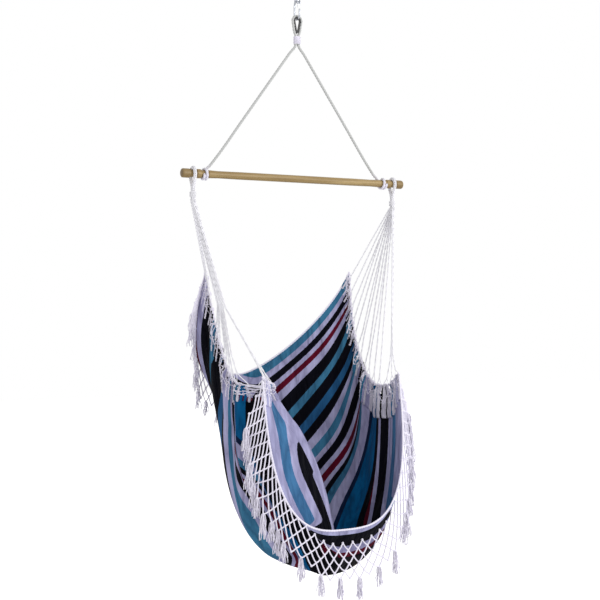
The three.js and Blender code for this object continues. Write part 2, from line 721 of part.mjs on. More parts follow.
// Sling cloth: the grid given its thickness and closed round its edge
function slingCloth() {
  const rows = clothGrid();
  const normals = gridNormals(rows);
  const across = clothAcross + 1;
  const face = (sign) => rows.flatMap((row, j) => row.map((p, i) => p.clone()
    .addScaledVector(normals[j][i], (sign * clothThickness) / 2)));
  const points = [...face(1), ...face(-1)];
  const offset = points.length / 2;
  const triangles = [];
  for (let j = 0; j < clothAlong; j += 1) {
    for (let i = 0; i < clothAcross; i += 1) {
      const [a, b] = [j * across + i, j * across + i + 1];
      const [c, d] = [b + across, a + across];
      triangles.push([a, b, c], [a, c, d]);
      triangles.push([offset + a, offset + c, offset + b], [offset + a, offset + d, offset + c]);
    }
  }
  const rim = [];
  for (let i = 0; i < clothAcross; i += 1) rim.push(i);
  for (let j = 0; j < clothAlong; j += 1) rim.push(j * across + clothAcross);
  for (let i = clothAcross; i > 0; i -= 1) rim.push(clothAlong * across + i);
  for (let j = clothAlong; j > 0; j -= 1) rim.push(j * across);
  rim.forEach((a, k) => {
    const b = rim[(k + 1) % rim.length];
    triangles.push([a, offset + a, offset + b], [a, offset + b, b]);
  });
  return solidFrom(points, triangles);
}

// End braid: the knotted selvedge that gathers the cloth, one lump for each cord
function endBraid(side, spare = 0) {
  const radii = braidLine(side).map((_, i) => braidRadius + spare + (i % 3 ? lumpHeight : 0));
  return tube(braidLine(side), radii, cordSides, false, point(1, 0, 0));
}

// Distance from a point to a path of points
function distanceToPath(p, path) {
  let least = Infinity;
  for (let i = 1; i < path.length; i += 1) {
    const line = new THREE.Line3(path[i - 1], path[i]);
    least = Math.min(least, line.closestPointToPoint(p, true, point(0, 0, 0)).distanceTo(p));
  }
  return least;
}

// Clew cord: a straight cord from the neck to its lump on the end braid
function clewCord(side, index) {
  const share = (index + midShare) / cordsPerSide;
  const row = (index % cordRows) - 1;
  const spread = (cordsPerSide - 1) / 2 - index;
  const start = point(side * clewSeat + row * cordRowPitch, spread * cordSpreadPitch, neckBottom() - gap);
  const target = endPoint(side, share);
  const along = target.clone().sub(start).normalize();
  const lift = (cordRadius * Math.hypot(along.x, along.y)) / Math.abs(along.z);
  start.addScaledVector(along, lift);
  const cord = tube([start, target], cordRadius, cordSides, false, point(1, 0, 0));
  return cut(cord, endBraid(side, gap / Math.cos(Math.PI / cordSides)));
}

// Hem line at the front (share 1) or back (share 0) edge, clear of the end braids
function hemLine(share) {
  return acrossCurve(share, clothAcross + 1, braidRadius + lumpHeight + hemRadius);
}

// The same line with a point halfway along each stretch
function halvedLine(line) {
  return line.flatMap((p, i) => (i ? [line[i - 1].clone().lerp(p, midShare), p] : [p]));
}

// The way a fringe falls from its hem: sideways where the hem stands, down where it lies
function fallDirection(line, index, lean) {
  const before = line[Math.max(index - 1, 0)];
  const after = line[Math.min(index + 1, line.length - 1)];
  const steep = Math.abs(after.clone().sub(before).normalize().z);
  const hand = index < line.length / 2 ? -1 : 1;
  const out = lean[hand < 0 ? 'left' : 'right'];
  return point(0, lean.hang, -1).lerp(out, steep ** 2).normalize();
}

// Hem cord: the roping that the fringe is knotted to
function hemCord(share) {
  return tube(hemLine(share), hemRadius, cordSides, false, point(0, 1, 0));
}

// Where the strands of a fringe start, clear of the hem cord that they are knotted to
function fringeRoots(line, directions, lean) {
  return line.map((p, i) => {
    const before = line[Math.max(i - 1, 0)];
    const along = line[Math.min(i + 1, line.length - 1)].clone().sub(before).normalize();
    const away = point(0, Math.sign(lean.hang), 0).lerp(directions[i], along.z ** 2);
    away.addScaledVector(along, -away.dot(along)).normalize();
    const half = THREE.MathUtils.lerp(strandThickness / 2, knotRadius, along.z ** 2);
    return p.clone().addScaledVector(away, hemRadius + gap + half);
  });
}

// Tassel: a bunch of loose ends below a knot, falling more plumb than the net
function tassel(from, direction) {
  const fall = direction.clone().lerp(point(0, 0, -1), tasselPlumbShare).normalize();
  const drops = [-tasselTopRadius, tasselHeadLength, tasselLength];
  const path = drops.map((drop) => from.clone().addScaledVector(fall, drop));
  return tube(path, [tasselTopRadius, tasselHeadRadius, tasselEndRadius], thinCordSides);
}

// Fringe: a diamond net knotted to the hem cord, ending in tassels
function fringe(share, lean) {
  const line = halvedLine(hemLine(share));
  const directions = line.map((_, i) => fallDirection(line, i, lean));
  const roots = fringeRoots(line, directions, lean);
  const at = (column, row) => {
    const index = Math.round(2 * column);
    return roots[index].clone().addScaledVector(directions[index], (netDrop * row) / netRows);
  };
  const lastShift = netRows % 2 ? midShare : 0;
  const tassels = [];
  for (let column = lastShift; column <= netColumns - lastShift; column += tasselEvery) {
    tassels.push(tassel(at(column, netRows), directions[Math.round(2 * column)]));
  }
  return join(netSolid(at), ...tassels);
}

// Diamond net on a surface given by column and row: knots joined by flat strands
function netSolid(at) {
  const points = [];
  const triangles = [];
  const corners = new Map();
  const knotAt = (column, row) => {
    const key = `${column},${row}`;
    if (corners.has(key)) return corners.get(key);
    const centre = at(column, row);
    const west = at(Math.max(column - midShare, 0), row);
    const east = at(Math.min(column + midShare, netColumns), row);
    const sideways = east.sub(west).normalize();
    const down = at(column, row + 1).sub(at(column, row)).normalize();
    const normal = sideways.clone().cross(down).normalize();
    const ring = [[0, -1], [1, 0], [0, 1], [-1, 0]].map(([a, b]) => centre.clone()
      .addScaledVector(sideways, a * knotRadius * knotWidthShare).addScaledVector(down, b * knotRadius));
    const first = points.length;
    ring.forEach((p) => points.push(p.clone().addScaledVector(normal, strandThickness / 2)));
    ring.forEach((p) => points.push(p.clone().addScaledVector(normal, -strandThickness / 2)));
    const used = new Set();
    corners.set(key, { first, used });
    triangles.push([first, first + 2, first + 1], [first, first + 3, first + 2]);
    triangles.push([first + 4, first + 5, first + 6], [first + 4, first + 6, first + 7]);
    return corners.get(key);
  };
  // Corner numbers: 0 top, 1 right, 2 bottom, 3 left; a strand leaves between 1 and 2 or 2 and 3
  const strand = (from, a0, a1, to, b0, b1) => {
    const [p, q, r, s] = [from.first + a0, from.first + a1, to.first + b0, to.first + b1];
    triangles.push([p, q, r], [p, r, s]);
    triangles.push([p + 4, r + 4, q + 4], [p + 4, s + 4, r + 4]);
    triangles.push([p, s, s + 4], [p, s + 4, p + 4]);
    triangles.push([q, q + 4, r + 4], [q, r + 4, r]);
    from.used.add(a0);
    to.used.add(b0);
  };
  for (let row = 0; row <= netRows; row += 1) {
    const shift = row % 2 ? midShare : 0;
    for (let column = shift; column <= netColumns - shift; column += 1) {
      const knot = knotAt(column, row);
      if (row === netRows) continue;
      if (column + midShare <= netColumns) strand(knot, 1, 2, knotAt(column + midShare, row + 1), 3, 0);
      if (column - midShare >= 0) strand(knot, 2, 3, knotAt(column - midShare, row + 1), 0, 1);
    }
  }
  for (const { first, used } of corners.values()) {
    for (let k = 0; k < 4; k += 1) {
      if (used.has(k)) continue;
      const m = (k + 1) % 4;
      triangles.push([first + k, first + m, first + m + 4], [first + k, first + m + 4, first + k + 4]);
    }
  }
  return solidFrom(points, triangles);
}

// The whole chair
const chair = new THREE.Group();

function add(name, geometry, material) {
  const mesh = new THREE.Mesh(geometry, material);
  mesh.name = name;
  chair.add(mesh);
}

add('swivel_eye', swivelEye(), steel);
add('snap_hook_body', hookBody(), steel);
add('snap_hook_gate', gate(), steel);
add('gate_pin', gatePin(), steel);
add('gate_spring', gateSpring(), steel);
add('eye_thimble', thimble(), blackPlastic);
add('bridle_rope', bridleRope(), cordWhite);
add('rope_seizing', seizing(), cordWhite);
add('spreader_bar', spreaderBar(), wood);
for (const [hand, side] of [['left', -1], ['right', 1]]) {
  add(`clew_loop_${hand}`, clewLoop(side), cordWhite);
  add(`clew_whipping_${hand}`, clewWhipping(side), cordWhite);
  for (let i = 0; i < cordsPerSide; i += 1) {
    const label = String(i + 1).padStart(2, '0');
    add(`clew_cord_${hand}_${label}`, clewCord(side, i), cordWhite);
  }
  add(`end_braid_${hand}`, endBraid(side), cordWhite);
}
add('sling_cloth', slingCloth(), striped);
add('front_hem_cord', hemCord(1), cordWhite);
add('back_hem_cord', hemCord(0), cordWhite);
add('front_fringe', fringe(1, {
  hang: -0.12, left: point(-0.36, 0.2, -0.9), right: point(0.36, 0.1, -0.9),
}), cordWhite);
add('back_fringe', fringe(0, {
  hang: 0.15, left: point(-0.2, 0.3, -0.93), right: point(0.15, 0.45, -0.88),
}), cordWhite);

export default chair;
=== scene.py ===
"""Hammock chair: the woven sling, nets, cords, rope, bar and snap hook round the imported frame.

Metres, +Z up, X along the bar and the front towards -Y. The origin is the hang point.
"""

from __future__ import annotations

import logging
import math
from dataclasses import dataclass, field
from enum import Enum

import bpy
import numpy as np
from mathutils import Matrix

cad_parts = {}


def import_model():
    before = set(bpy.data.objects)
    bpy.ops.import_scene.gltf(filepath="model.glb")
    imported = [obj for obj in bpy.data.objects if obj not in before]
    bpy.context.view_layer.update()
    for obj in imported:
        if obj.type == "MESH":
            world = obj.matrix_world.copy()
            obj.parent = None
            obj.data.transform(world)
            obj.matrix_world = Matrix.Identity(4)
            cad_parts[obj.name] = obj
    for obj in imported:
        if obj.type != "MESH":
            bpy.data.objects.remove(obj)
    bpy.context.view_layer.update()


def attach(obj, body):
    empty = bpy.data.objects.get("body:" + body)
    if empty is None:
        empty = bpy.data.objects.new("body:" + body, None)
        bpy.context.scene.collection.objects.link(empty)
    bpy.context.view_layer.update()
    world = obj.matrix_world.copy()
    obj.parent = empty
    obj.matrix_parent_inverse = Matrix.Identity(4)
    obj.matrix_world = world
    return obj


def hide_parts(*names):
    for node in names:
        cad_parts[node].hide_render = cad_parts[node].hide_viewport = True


log = logging.getLogger("hammock_chair")
Array = np.ndarray
Node, Tree, Socket, Material = bpy.types.Node, bpy.types.NodeTree, bpy.types.NodeSocket, bpy.types.Material
Colour = tuple[float, float, float]
MM = 0.001
TURN = 2 * math.pi
DOWN = np.array((0, 0, -1.0))
GOLDEN_ANGLE = math.pi * (3 - math.sqrt(5))


class Side(Enum):
    """The two ends of the bar."""

    LEFT = -1
    RIGHT = 1

    @property
    def label(self) -> str:
        """The word that node names use for this end."""
        return self.name.lower()


class Edge(Enum):
    """The back and front edges of the cloth, by their share of its depth."""

    BACK = 0
    FRONT = 1


class Body(Enum):
    """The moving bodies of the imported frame."""

    HANGER = "hanger"
    HOOK = "hook"
    GATE = "gate"
    BRIDLE = "bridle"
    SLING = "sling"


@dataclass(frozen=True)
class Hang:
    """Places that several sub-assemblies share, down the line on which the chair hangs."""

    gap: float = 0.3 * MM
    bar_drop: float = 741 * MM
    bar_half: float = 500 * MM
    groove_radius: float = 13.5 * MM
    rope_seat: float = 404 * MM
    clew_seat: float = 452 * MM
    neck_top: float = -793 * MM
    neck_bottom: float = -837 * MM
    bow_bottom: float = -110 * MM
    bow_radius: float = 16 * MM
    thimble_width: float = 13 * MM

    @property
    def thimble_top(self) -> float:
        """Height of the thimble's inner top, clear of the bow over its whole width."""
        sunk = self.bow_radius - math.sqrt(self.bow_radius**2 - (self.thimble_width / 2) ** 2)
        return self.bow_bottom + sunk + self.gap


# ---- Surfaces as arrays ----


@dataclass
class Shell:
    """Closed or open patches as arrays: points, the corners of each face and their UVs."""

    points: Array
    corners: Array
    sizes: Array
    uv: Array

    @staticmethod
    def grid(grid: Array, u: Array, v: Array, wrap: bool = False, caps: bool = False) -> Shell:
        """Skins one grid or a batch of grids of points with four-cornered faces.

        A wrapped grid joins its last column to its first, and caps close its first and last rows
        with one face each.

        Args:
            grid: points as (rows, columns, 3) or (batch, rows, columns, 3).
            u: texture place of each row, (rows,) or (batch, rows).
            v: texture place of each column (one more on a wrapped grid), or (rows, columns).
            wrap: whether the columns go round.
            caps: whether the first and last rows are closed.

        Returns:
            The skinned shell.
        """
        batch = grid if grid.ndim == 4 else grid[None]
        count, rows, columns, _ = batch.shape
        spans = columns if wrap else columns - 1
        i, j = np.meshgrid(np.arange(rows - 1), np.arange(spans), indexing="ij")
        k = (j + 1) % columns
        here, after = i * columns, (i + 1) * columns
        quads = np.stack([here + j, here + k, after + k, after + j], -1)
        offsets = np.arange(count)[:, None, None] * rows * columns
        corners = (quads.reshape(1, -1, 4) + offsets).reshape(-1)
        along = np.broadcast_to(u if u.ndim == 2 else u[None], (count, rows))
        across = v if v.ndim == 2 else np.broadcast_to(v, (rows, len(v)))
        places = np.stack(np.broadcast_arrays(along[:, :, None], across[None]), -1)
        row, column = np.stack([i, i, i + 1, i + 1], -1), np.stack([j, j + 1, j + 1, j], -1)
        uv = places[:, row, column].reshape(-1, 2)
        sizes = np.full(len(corners) // 4, 4)
        if caps:
            ring = np.arange(columns)
            ends = np.stack([ring[::-1], (rows - 1) * columns + ring])[None] + offsets
            corners = np.concatenate([corners, ends.reshape(-1)])
            sizes = np.concatenate([sizes, np.full(2 * count, columns)])
            end_uv = np.stack([along[:, :1], along[:, -1:]], 1).repeat(columns, 2)
            uv = np.concatenate([uv, np.stack([end_uv, np.zeros_like(end_uv)], -1).reshape(-1, 2)])
        return Shell(batch.reshape(-1, 3), corners, sizes, uv)

    @staticmethod
    def joined(shells: list[Shell]) -> Shell:
        """Puts several shells into one, each still closed by itself.

        Args:
            shells: the shells.

        Returns:
            One shell.
        """
        starts = np.cumsum([0] + [len(shell.points) for shell in shells[:-1]])
        return Shell(
            np.concatenate([shell.points for shell in shells]),
            np.concatenate([shell.corners + start for shell, start in zip(shells, starts)]),
            np.concatenate([shell.sizes for shell in shells]),
            np.concatenate([shell.uv for shell in shells]),
        )

    def turned(self, swap: tuple = (0, 1, 2), move: tuple = (0, 0, 0)) -> Shell:
        """The shell with its axes taken in another, even order and then moved."""
        return Shell(self.points[:, list(swap)] + np.array(move), self.corners, self.sizes, self.uv)

    def piece(self, name: str, body: Body, finish: Material, slot: str, *nodes: str) -> bpy.types.Object:
        """Makes the shell a mesh object that rides on a body and stands for some CAD nodes.

        Args:
            name: the piece's name.
            body: the body that it moves with.
            finish: its material.
            slot: not used.
            nodes: the CAD nodes that it replaces.

        Returns:
            The new object.
        """
        mesh = bpy.data.meshes.new(name)
        mesh.vertices.add(len(self.points))
        mesh.vertices.foreach_set("co", self.points.astype(np.float32).ravel())
        mesh.loops.add(len(self.corners))
        mesh.loops.foreach_set("vertex_index", self.corners.astype(np.int32))
        mesh.polygons.add(len(self.sizes))
        starts = np.concatenate([[0], np.cumsum(self.sizes)[:-1]]).astype(np.int32)
        mesh.polygons.foreach_set("loop_start", starts)
        mesh.polygons.foreach_set("use_smooth", self.sizes == 4)
        mesh.uv_layers.new(name="UVMap").data.foreach_set("uv", self.uv.astype(np.float32).ravel())
        mesh.update(calc_edges=True)
        mesh.materials.append(finish)
        piece = placed_object(name, mesh)
        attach(piece, body.value)
        if nodes:
            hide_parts(*nodes)
        log.info("%s: %d points, %d faces", name, len(self.points), len(self.sizes))
        return piece


def placed_object(name: str, data: bpy.types.ID) -> bpy.types.Object:
    """A new object of a mesh, a lamp or a camera, placed in the scene."""
    made = bpy.data.objects.new(name, data)
    bpy.context.scene.collection.objects.link(made)
    return made


def unit(vectors: Array) -> Array:
    """Vectors scaled to length one."""
    return vectors / np.maximum(np.linalg.norm(vectors, axis=-1, keepdims=True), 1e-12)


def mix(a: Array, b: Array, share: Array) -> Array:
    """The blend from point a to point b at a share, or at one share for each point."""
    part = np.asarray(share, float)
    return a + (b - a) * (part[..., None] if part.ndim else part)


def between(a: Array, b: Array, share: Array) -> Array:
    """The blend from values a to values b, value by value."""
    return a + (b - a) * share


def ease(x: Array) -> Array:
    """A smooth rise from 0 to 1 between x = 0 and x = 1: three x squared less two x cubed."""
    t = np.clip(x, 0, 1)
    return t * t * (3 - 2 * t)


def rise(x: Array, start: Array | float, width: Array | float) -> Array:
    """A smooth rise from 0 at the start to 1 at the start plus the width."""
    return ease((x - start) / width)


def fall(x: Array, end: float, width: float) -> Array:
    """A smooth fall from 1 at the end less the width to 0 at the end."""
    return ease((end - x) / width)


def hump(x: Array, start: float = 0, width: float = 1) -> Array:
    """One half wave: sin(pi (x - start) / width) between the start and the width past it, else 0."""
    return np.sin(math.pi * np.clip((x - start) / width, 0, 1))


def circle(turn: Array, radius: Array | float, centre: tuple = (0, 0, 0), plane: tuple = (0, 1)) -> Array:
    """Points at angles round a centre: cos along the plane's first axis and sin along its second.

    Args:
        turn: the angles, of any shape.
        radius: one radius, or one for each angle.
        centre: the centre's three parts, each a number, or an array that draws the circle out.
        plane: the two axes, as 0, 1 or 2.

    Returns:
        The points, shaped like the angles with a last axis of three.
    """
    parts = [part + 0 * turn for part in centre]
    for axis, wave in zip(plane, (np.cos(turn), np.sin(turn))):
        parts[axis] = parts[axis] + radius * wave
    return np.stack(parts, -1)


def read_line(at: Array, keys: Array, points: Array) -> Array:
    """Points of a straight-sided line at places among its keys."""
    return np.stack([np.interp(at, keys, column) for column in np.asarray(points).T], -1)


def hermite(keys: Array, values: Array, slopes: Array, at: Array) -> Array:
    """Cubic pieces through values with given slopes at the keys.

    On each span with share t the curve is (1 + 2t)(1 - t)^2 a + t(1 - t)^2 da + t^2 (3 - 2t) b
    + t^2 (t - 1) db.

    Args:
        keys: rising places of the values, (n,).
        values: values at the keys, (n,) or (n, 3).
        slopes: slopes at the keys, like the values.
        at: places to read, any shape where values are (n,), or (m,).

    Returns:
        The curve at those places.
    """
    k = np.clip(np.searchsorted(keys, at, side="right") - 1, 0, len(keys) - 2)
    step = keys[k + 1] - keys[k]
    t = (at - keys[k]) / step
    if values.ndim > 1:
        step, t = step[:, None], t[:, None]
    return (
        (1 + 2 * t) * (1 - t) ** 2 * values[k]
        + t * (1 - t) ** 2 * step * slopes[k]
        + t * t * (3 - 2 * t) * values[k + 1]
        + t * t * (t - 1) * step * slopes[k + 1]
    )


def blended(keys: Array, values: Array, at: Array) -> Array:
    """The rounded value of a table, by a monotone cubic: harmonic slopes, flat at the turns.

    Args:
        keys: rising places of the values.
        values: one value for each key.
        at: places to read.

    Returns:
        The values at those places.
    """
    step = np.diff(keys)
    slope = np.diff(values) / step
    inner = np.zeros(len(keys))
    near, far = 2 * step[1:] + step[:-1], step[1:] + 2 * step[:-1]
    before, after = slope[:-1], slope[1:]
    keep = before * after > 0
    harmonic = near / np.where(keep, before, 1) + far / np.where(keep, after, 1)
    inner[1:-1][keep] = (near + far)[keep] / harmonic[keep]
    inner[0], inner[-1] = slope[0], slope[-1]
    return hermite(keys, values, inner, at)


def smoothed(points: Array, step: float) -> Array:
    """A smooth path through points, in even steps of its chord length.

    Args:
        points: the points, (n, 3).
        step: the distance between the path's points, in metres.

    Returns:
        The path, (m, 3).
    """
    points = np.asarray(points, float)
    keys = np.concatenate([[0], np.cumsum(np.linalg.norm(np.diff(points, axis=0), axis=1))])
    slopes = np.stack([np.gradient(points[:, axis], keys) for axis in range(3)], -1)
    count = max(2, round(keys[-1] / step) + 1)
    return hermite(keys, points, slopes, np.linspace(0, keys[-1], count))


def run_lengths(paths: Array) -> Array:
    """The length run along each path up to each of its points."""
    steps = np.linalg.norm(np.diff(paths, axis=-2), axis=-1)
    return np.concatenate([np.zeros(steps.shape[:-1] + (1,)), np.cumsum(steps, -1)], -1)


def frames(paths: Array, lean: Array | tuple) -> tuple[Array, Array, Array]:
    """Tangent, normal and side at each point of paths, with the normal nearest to a lean vector.

    Args:
        paths: points, (..., n, 3).
        lean: one vector, or one for each point.

    Returns:
        Three arrays like the paths, all of length one.
    """
    lean = np.broadcast_to(np.asarray(lean, float), paths.shape)
    tangent = unit(np.gradient(paths, axis=-2))
    normal = unit(lean - (lean * tangent).sum(-1, keepdims=True) * tangent)
    return tangent, normal, np.cross(tangent, normal)


def tubes(
    paths: Array,
    radius: Array | float,
    sides: int,
    lean: Array | tuple,
    ply: int = 0,
    pitch: float = 1.0,
    notch: float = 0.0,
) -> Shell:
    """Round or twisted tubes along one path or a batch of paths.

    A ring's point at angle a lies at the centre + r (cos a normal + sin a side). A twisted tube has
    r = R (1 - notch (1 - |cos(ply b / 2)|)), where b = a - 2 pi length / pitch, so its plies
    wind along it as rounded ridges.

    Args:
        paths: (n, 3) or (batch, n, 3).
        radius: one radius, or one for each point as (n,) or (batch, n).
        sides: corners of each ring.
        lean: vector, or vectors at the points, that the first corner keeps to.
        ply: number of ridges, or 0 for a round tube.
        pitch: length in which a ridge goes once round.
        notch: depth of the grooves as a share of the radius.

    Returns:
        The closed tubes, with length in metres along and one turn across as their UV.
    """
    batch = paths if paths.ndim == 3 else paths[None]
    _, normal, side = frames(batch, lean)
    length = run_lengths(batch)
    angle = np.arange(sides) * TURN / sides
    size = np.broadcast_to(np.asarray(radius, float), length.shape)[..., None]
    if ply:
        turn = angle - TURN * length[..., None] / pitch
        size = size * (1 - notch * (1 - np.abs(np.cos(ply * turn / 2))))
    ring = np.cos(angle)[:, None] * normal[..., None, :] + np.sin(angle)[:, None] * side[..., None, :]
    grid = batch[..., None, :] + np.broadcast_to(size, ring.shape[:-1])[..., None] * ring
    return Shell.grid(grid, length, np.arange(sides + 1) / sides, wrap=True, caps=True)


def lathe(profile: Array, sides: int) -> Shell:
    """A profile of (radius, height) pairs turned about Z, from the bottom pole to the top one.

    Args:
        profile: the pairs, (n, 2).
        sides: corners of each ring.

    Returns:
        The closed turned shape.
    """
    profile = np.asarray(profile, float)
    radius, height = np.maximum(profile[:, :1], 1e-5), profile[:, 1:]
    grid = circle(np.arange(sides) * TURN / sides, radius, (0, 0, height))
    return Shell.grid(grid, run_lengths(profile), np.arange(sides + 1) / sides, wrap=True, caps=True)


def rounded_profile(corners: Array, step: float, ease_radius: float) -> Array:
    """A profile's corners eased: the polyline sampled in even steps and averaged over a short run.

    Args:
        corners: (radius, height) or (across, out) pairs.
        step: distance between samples, in metres.
        ease_radius: half the run of the average, in metres.

    Returns:
        The eased profile, with its first and last points as they were.
    """
    corners = np.asarray(corners, float)
    keys = run_lengths(corners)
    at = np.linspace(0, keys[-1], max(8, round(keys[-1] / step)))
    line = read_line(at, keys, corners)
    reach = max(1, round(ease_radius / step))
    kernel = np.ones(2 * reach + 1) / (2 * reach + 1)
    padded = np.concatenate([np.repeat(line[:1], reach, 0), line, np.repeat(line[-1:], reach, 0)])
    eased = np.stack([np.convolve(padded[:, axis], kernel, "valid") for axis in range(2)], -1)
    eased[0], eased[-1] = corners[0], corners[-1]
    return eased


def packed_disc(count: int, radius: float) -> Array:
    """Places spread evenly in a disc, at the golden angle apart: radius sqrt((k + 1/2) / count)."""
    k = np.arange(count)
    out = radius * np.sqrt((k + 0.5) / count)
    return circle(k * GOLDEN_ANGLE, out)[:, :2]


# ---- Finishes ----


@dataclass
class Graph:
    """A node tree with short ways to place nodes and join them."""

    tree: Tree

    def node(self, kind: str, inputs: dict[str | int, object] | None = None, **settings: object) -> Node:
        """Places a node, sets its attributes, and sets or links its inputs.

        Args:
            kind: the node's type.
            inputs: values or sockets for its inputs, by name or number.
            settings: its attributes.

        Returns:
            The node.
        """
        made = self.tree.nodes.new(kind)
        for key, value in settings.items():
            setattr(made, key, value)
        for key, value in (inputs or {}).items():
            if isinstance(value, Socket):
                self.tree.links.new(value, made.inputs[key])
            else:
                made.inputs[key].default_value = value
        return made

    def join(self, node: Node, **sockets: Socket) -> None:
        """Joins values to a node's inputs, whose names have _ for a space."""
        for key, value in sockets.items():
            self.tree.links.new(value, node.inputs[key.replace("_", " ")])

    def maths(self, operation: str, a: object, b: object = 0.0, c: object = 0.0) -> Socket:
        """The result of one arithmetic node."""
        return self.node("ShaderNodeMath", {0: a, 1: b, 2: c}, operation=operation).outputs[0]

    def times(self, a: object, b: object) -> Socket:
        """One value times another."""
        return self.maths("MULTIPLY", a, b)

    def scaled(self, value: object, by: object, plus: object) -> Socket:
        """One value times another, plus a third."""
        return self.maths("MULTIPLY_ADD", value, by, plus)

    def blend(self, share: object, a: object, b: object, mode: str = "MIX") -> Socket:
        """A colour blend from a to b.

        Args:
            share: how much of b, as a value or a socket.
            a: the first colour.
            b: the second colour.
            mode: how they are blended.

        Returns:
            The blended colour.
        """
        made = self.node("ShaderNodeMix", data_type="RGBA", blend_type=mode)
        for key, value in ((0, share), (6, a), (7, b)):
            if isinstance(value, Socket):
                self.tree.links.new(value, made.inputs[key])
            else:
                made.inputs[key].default_value = value if key == 0 else (*value, 1)
        return made.outputs[2]

    def ramp(self, share: object, stops: list[tuple[float, Colour]], mode: str = "LINEAR") -> Socket:
        """A colour ramp through stops of (place, colour).

        Args:
            share: the place to read.
            stops: the places, rising, and their colours.
            mode: how it goes between them.

        Returns:
            The colour.
        """
        made = self.node("ShaderNodeValToRGB", {0: share})
        made.color_ramp.interpolation = mode
        elements = made.color_ramp.elements
        while len(elements) < len(stops):
            elements.new(1.0)
        for element, (place, colour) in zip(elements, stops):
            element.position, element.color = place, (*colour, 1)
        return made.outputs[0]

    def noise(self, vector: object, scale: object = 1.0, detail: float = 2.0) -> Socket:
        """The value of a noise texture."""
        values = {"Vector": vector, "Scale": scale, "Detail": detail}
        return self.node("ShaderNodeTexNoise", values).outputs[0]

    def clamped(self, value: object) -> Socket:
        """A value kept between 0 and 1."""
        return self.maths("MINIMUM", self.maths("MAXIMUM", value, 0.0), 1.0)

    def parts(self, vector: object) -> list[Socket]:
        """The three parts of a vector."""
        return list(self.node("ShaderNodeSeparateXYZ", {0: vector}).outputs)

    def stretched(self, vector: object, *scale: float) -> Socket:
        """A vector with its axes scaled."""
        return self.node("ShaderNodeMapping", {"Vector": vector, "Scale": scale}).outputs[0]


def blank_graph(owner: Material | bpy.types.World) -> Graph:
    """The emptied node tree of a new material or world."""
    owner.use_nodes = True
    owner.node_tree.nodes.clear()
    return Graph(owner.node_tree)


def linear(red: int, green: int, blue: int) -> Colour:
    """Scene-linear values of a screen colour of 0 to 255."""
    shares = (np.array([red, green, blue]) / 255.0).tolist()
    low, high = 0.04045, 12.92
    return tuple(s / high if s <= low else ((s + 0.055) / 1.055) ** 2.4 for s in shares)


def new_group(name: str, inputs: dict, outputs: tuple) -> tuple[Graph, object, Node]:
    """Starts a shader node group with a vector and numbers in and named values out.

    Args:
        name: the group's name.
        inputs: its number inputs and their values.
        outputs: the names of its outputs.

    Returns:
        The group's graph, the sockets of its inputs by name, and its output node.
    """
    tree = bpy.data.node_groups.new(name, "ShaderNodeTree")
    tree.interface.new_socket("Vector", in_out="INPUT", socket_type="NodeSocketVector")
    for key, value in inputs.items():
        tree.interface.new_socket(key, in_out="INPUT", socket_type="NodeSocketFloat").default_value = value
    for key in outputs:
        tree.interface.new_socket(key, in_out="OUTPUT", socket_type="NodeSocketFloat")
    graph = Graph(tree)
    return graph, graph.node("NodeGroupInput").outputs, graph.node("NodeGroupOutput")


class Effects:
    """Shader groups that several finishes share, each built once."""

    def __init__(self) -> None:
        """Builds the groups."""
        self.mottle = self._mottle()
        self.twist = self._twist()
        self.weave = self._weave()
        self.wear = self._wear()

    @staticmethod
    def _mottle() -> Tree:
        """Uneven colour: one broad and one fine noise, as a value round one half."""
        graph, given, result = new_group("Mottle", {"Broad": 9.0, "Fine": 120.0}, ("Value",))
        broad, fine = (graph.noise(given["Vector"], given[key]) for key in ("Broad", "Fine"))
        graph.join(result, Value=graph.scaled(broad, 0.6, graph.times(fine, 0.4)))
        return graph.tree

    @staticmethod
    def _twist() -> Tree:
        """Yarn twist from a UV: ridges that climb as they go round, as a height and a groove mask."""
        graph, given, result = new_group("Twist", {"Pitch": 0.006, "Plies": 2.0}, ("Height", "Groove"))
        along, round_it, _ = graph.parts(given["Vector"])
        phase = graph.scaled(round_it, given["Plies"], graph.maths("DIVIDE", along, given["Pitch"]))
        wave = graph.maths("SINE", graph.times(phase, TURN))
        height = graph.scaled(wave, 0.5, 0.5)
        groove = graph.maths("POWER", graph.maths("SUBTRACT", 1.0, height), 3.0)
        graph.join(result, Height=height, Groove=groove)
        return graph.tree

    @staticmethod
    def _weave() -> Tree:
        """Plain weave from a UV in metres: warp ribs crossed by finer weft, as a height and a slub."""
        graph, given, result = new_group("Weave", {"Warp": 0.0036, "Weft": 0.0022}, ("Height", "Slub"))
        warp, weft = (
            graph.times(graph.maths("DIVIDE", part, given[key]), TURN)
            for part, key in zip(graph.parts(given["Vector"]), ("Warp", "Weft"))
        )
        crossed = graph.times(graph.maths("SINE", warp), graph.maths("SINE", weft))
        rib = graph.scaled(graph.maths("COSINE", warp), 0.28, graph.times(crossed, 0.22))
        slub = graph.noise(graph.stretched(given["Vector"], 60.0, 900.0, 1.0))
        graph.join(result, Height=graph.maths("ADD", rib, 0.5), Slub=slub)
        return graph.tree

    @staticmethod
    def _wear() -> Tree:
        """Handling marks: a noise with steep edges as a mask of small worn spots."""
        graph, given, result = new_group("Wear", {"Size": 30.0, "Amount": 0.5}, ("Mask",))
        spots = graph.noise(given["Vector"], given["Size"], 6.0)
        over = graph.maths("SUBTRACT", spots, graph.maths("SUBTRACT", 1.0, given["Amount"]))
        graph.join(result, Mask=graph.clamped(graph.times(over, 6.0)))
        return graph.tree

    @staticmethod
    def use(graph: Graph, group: Tree, vector: Socket, **values: float) -> Node:
        """Places a group in a material with its own values."""
        return graph.node("ShaderNodeGroup", {"Vector": vector, **values}, node_tree=group)


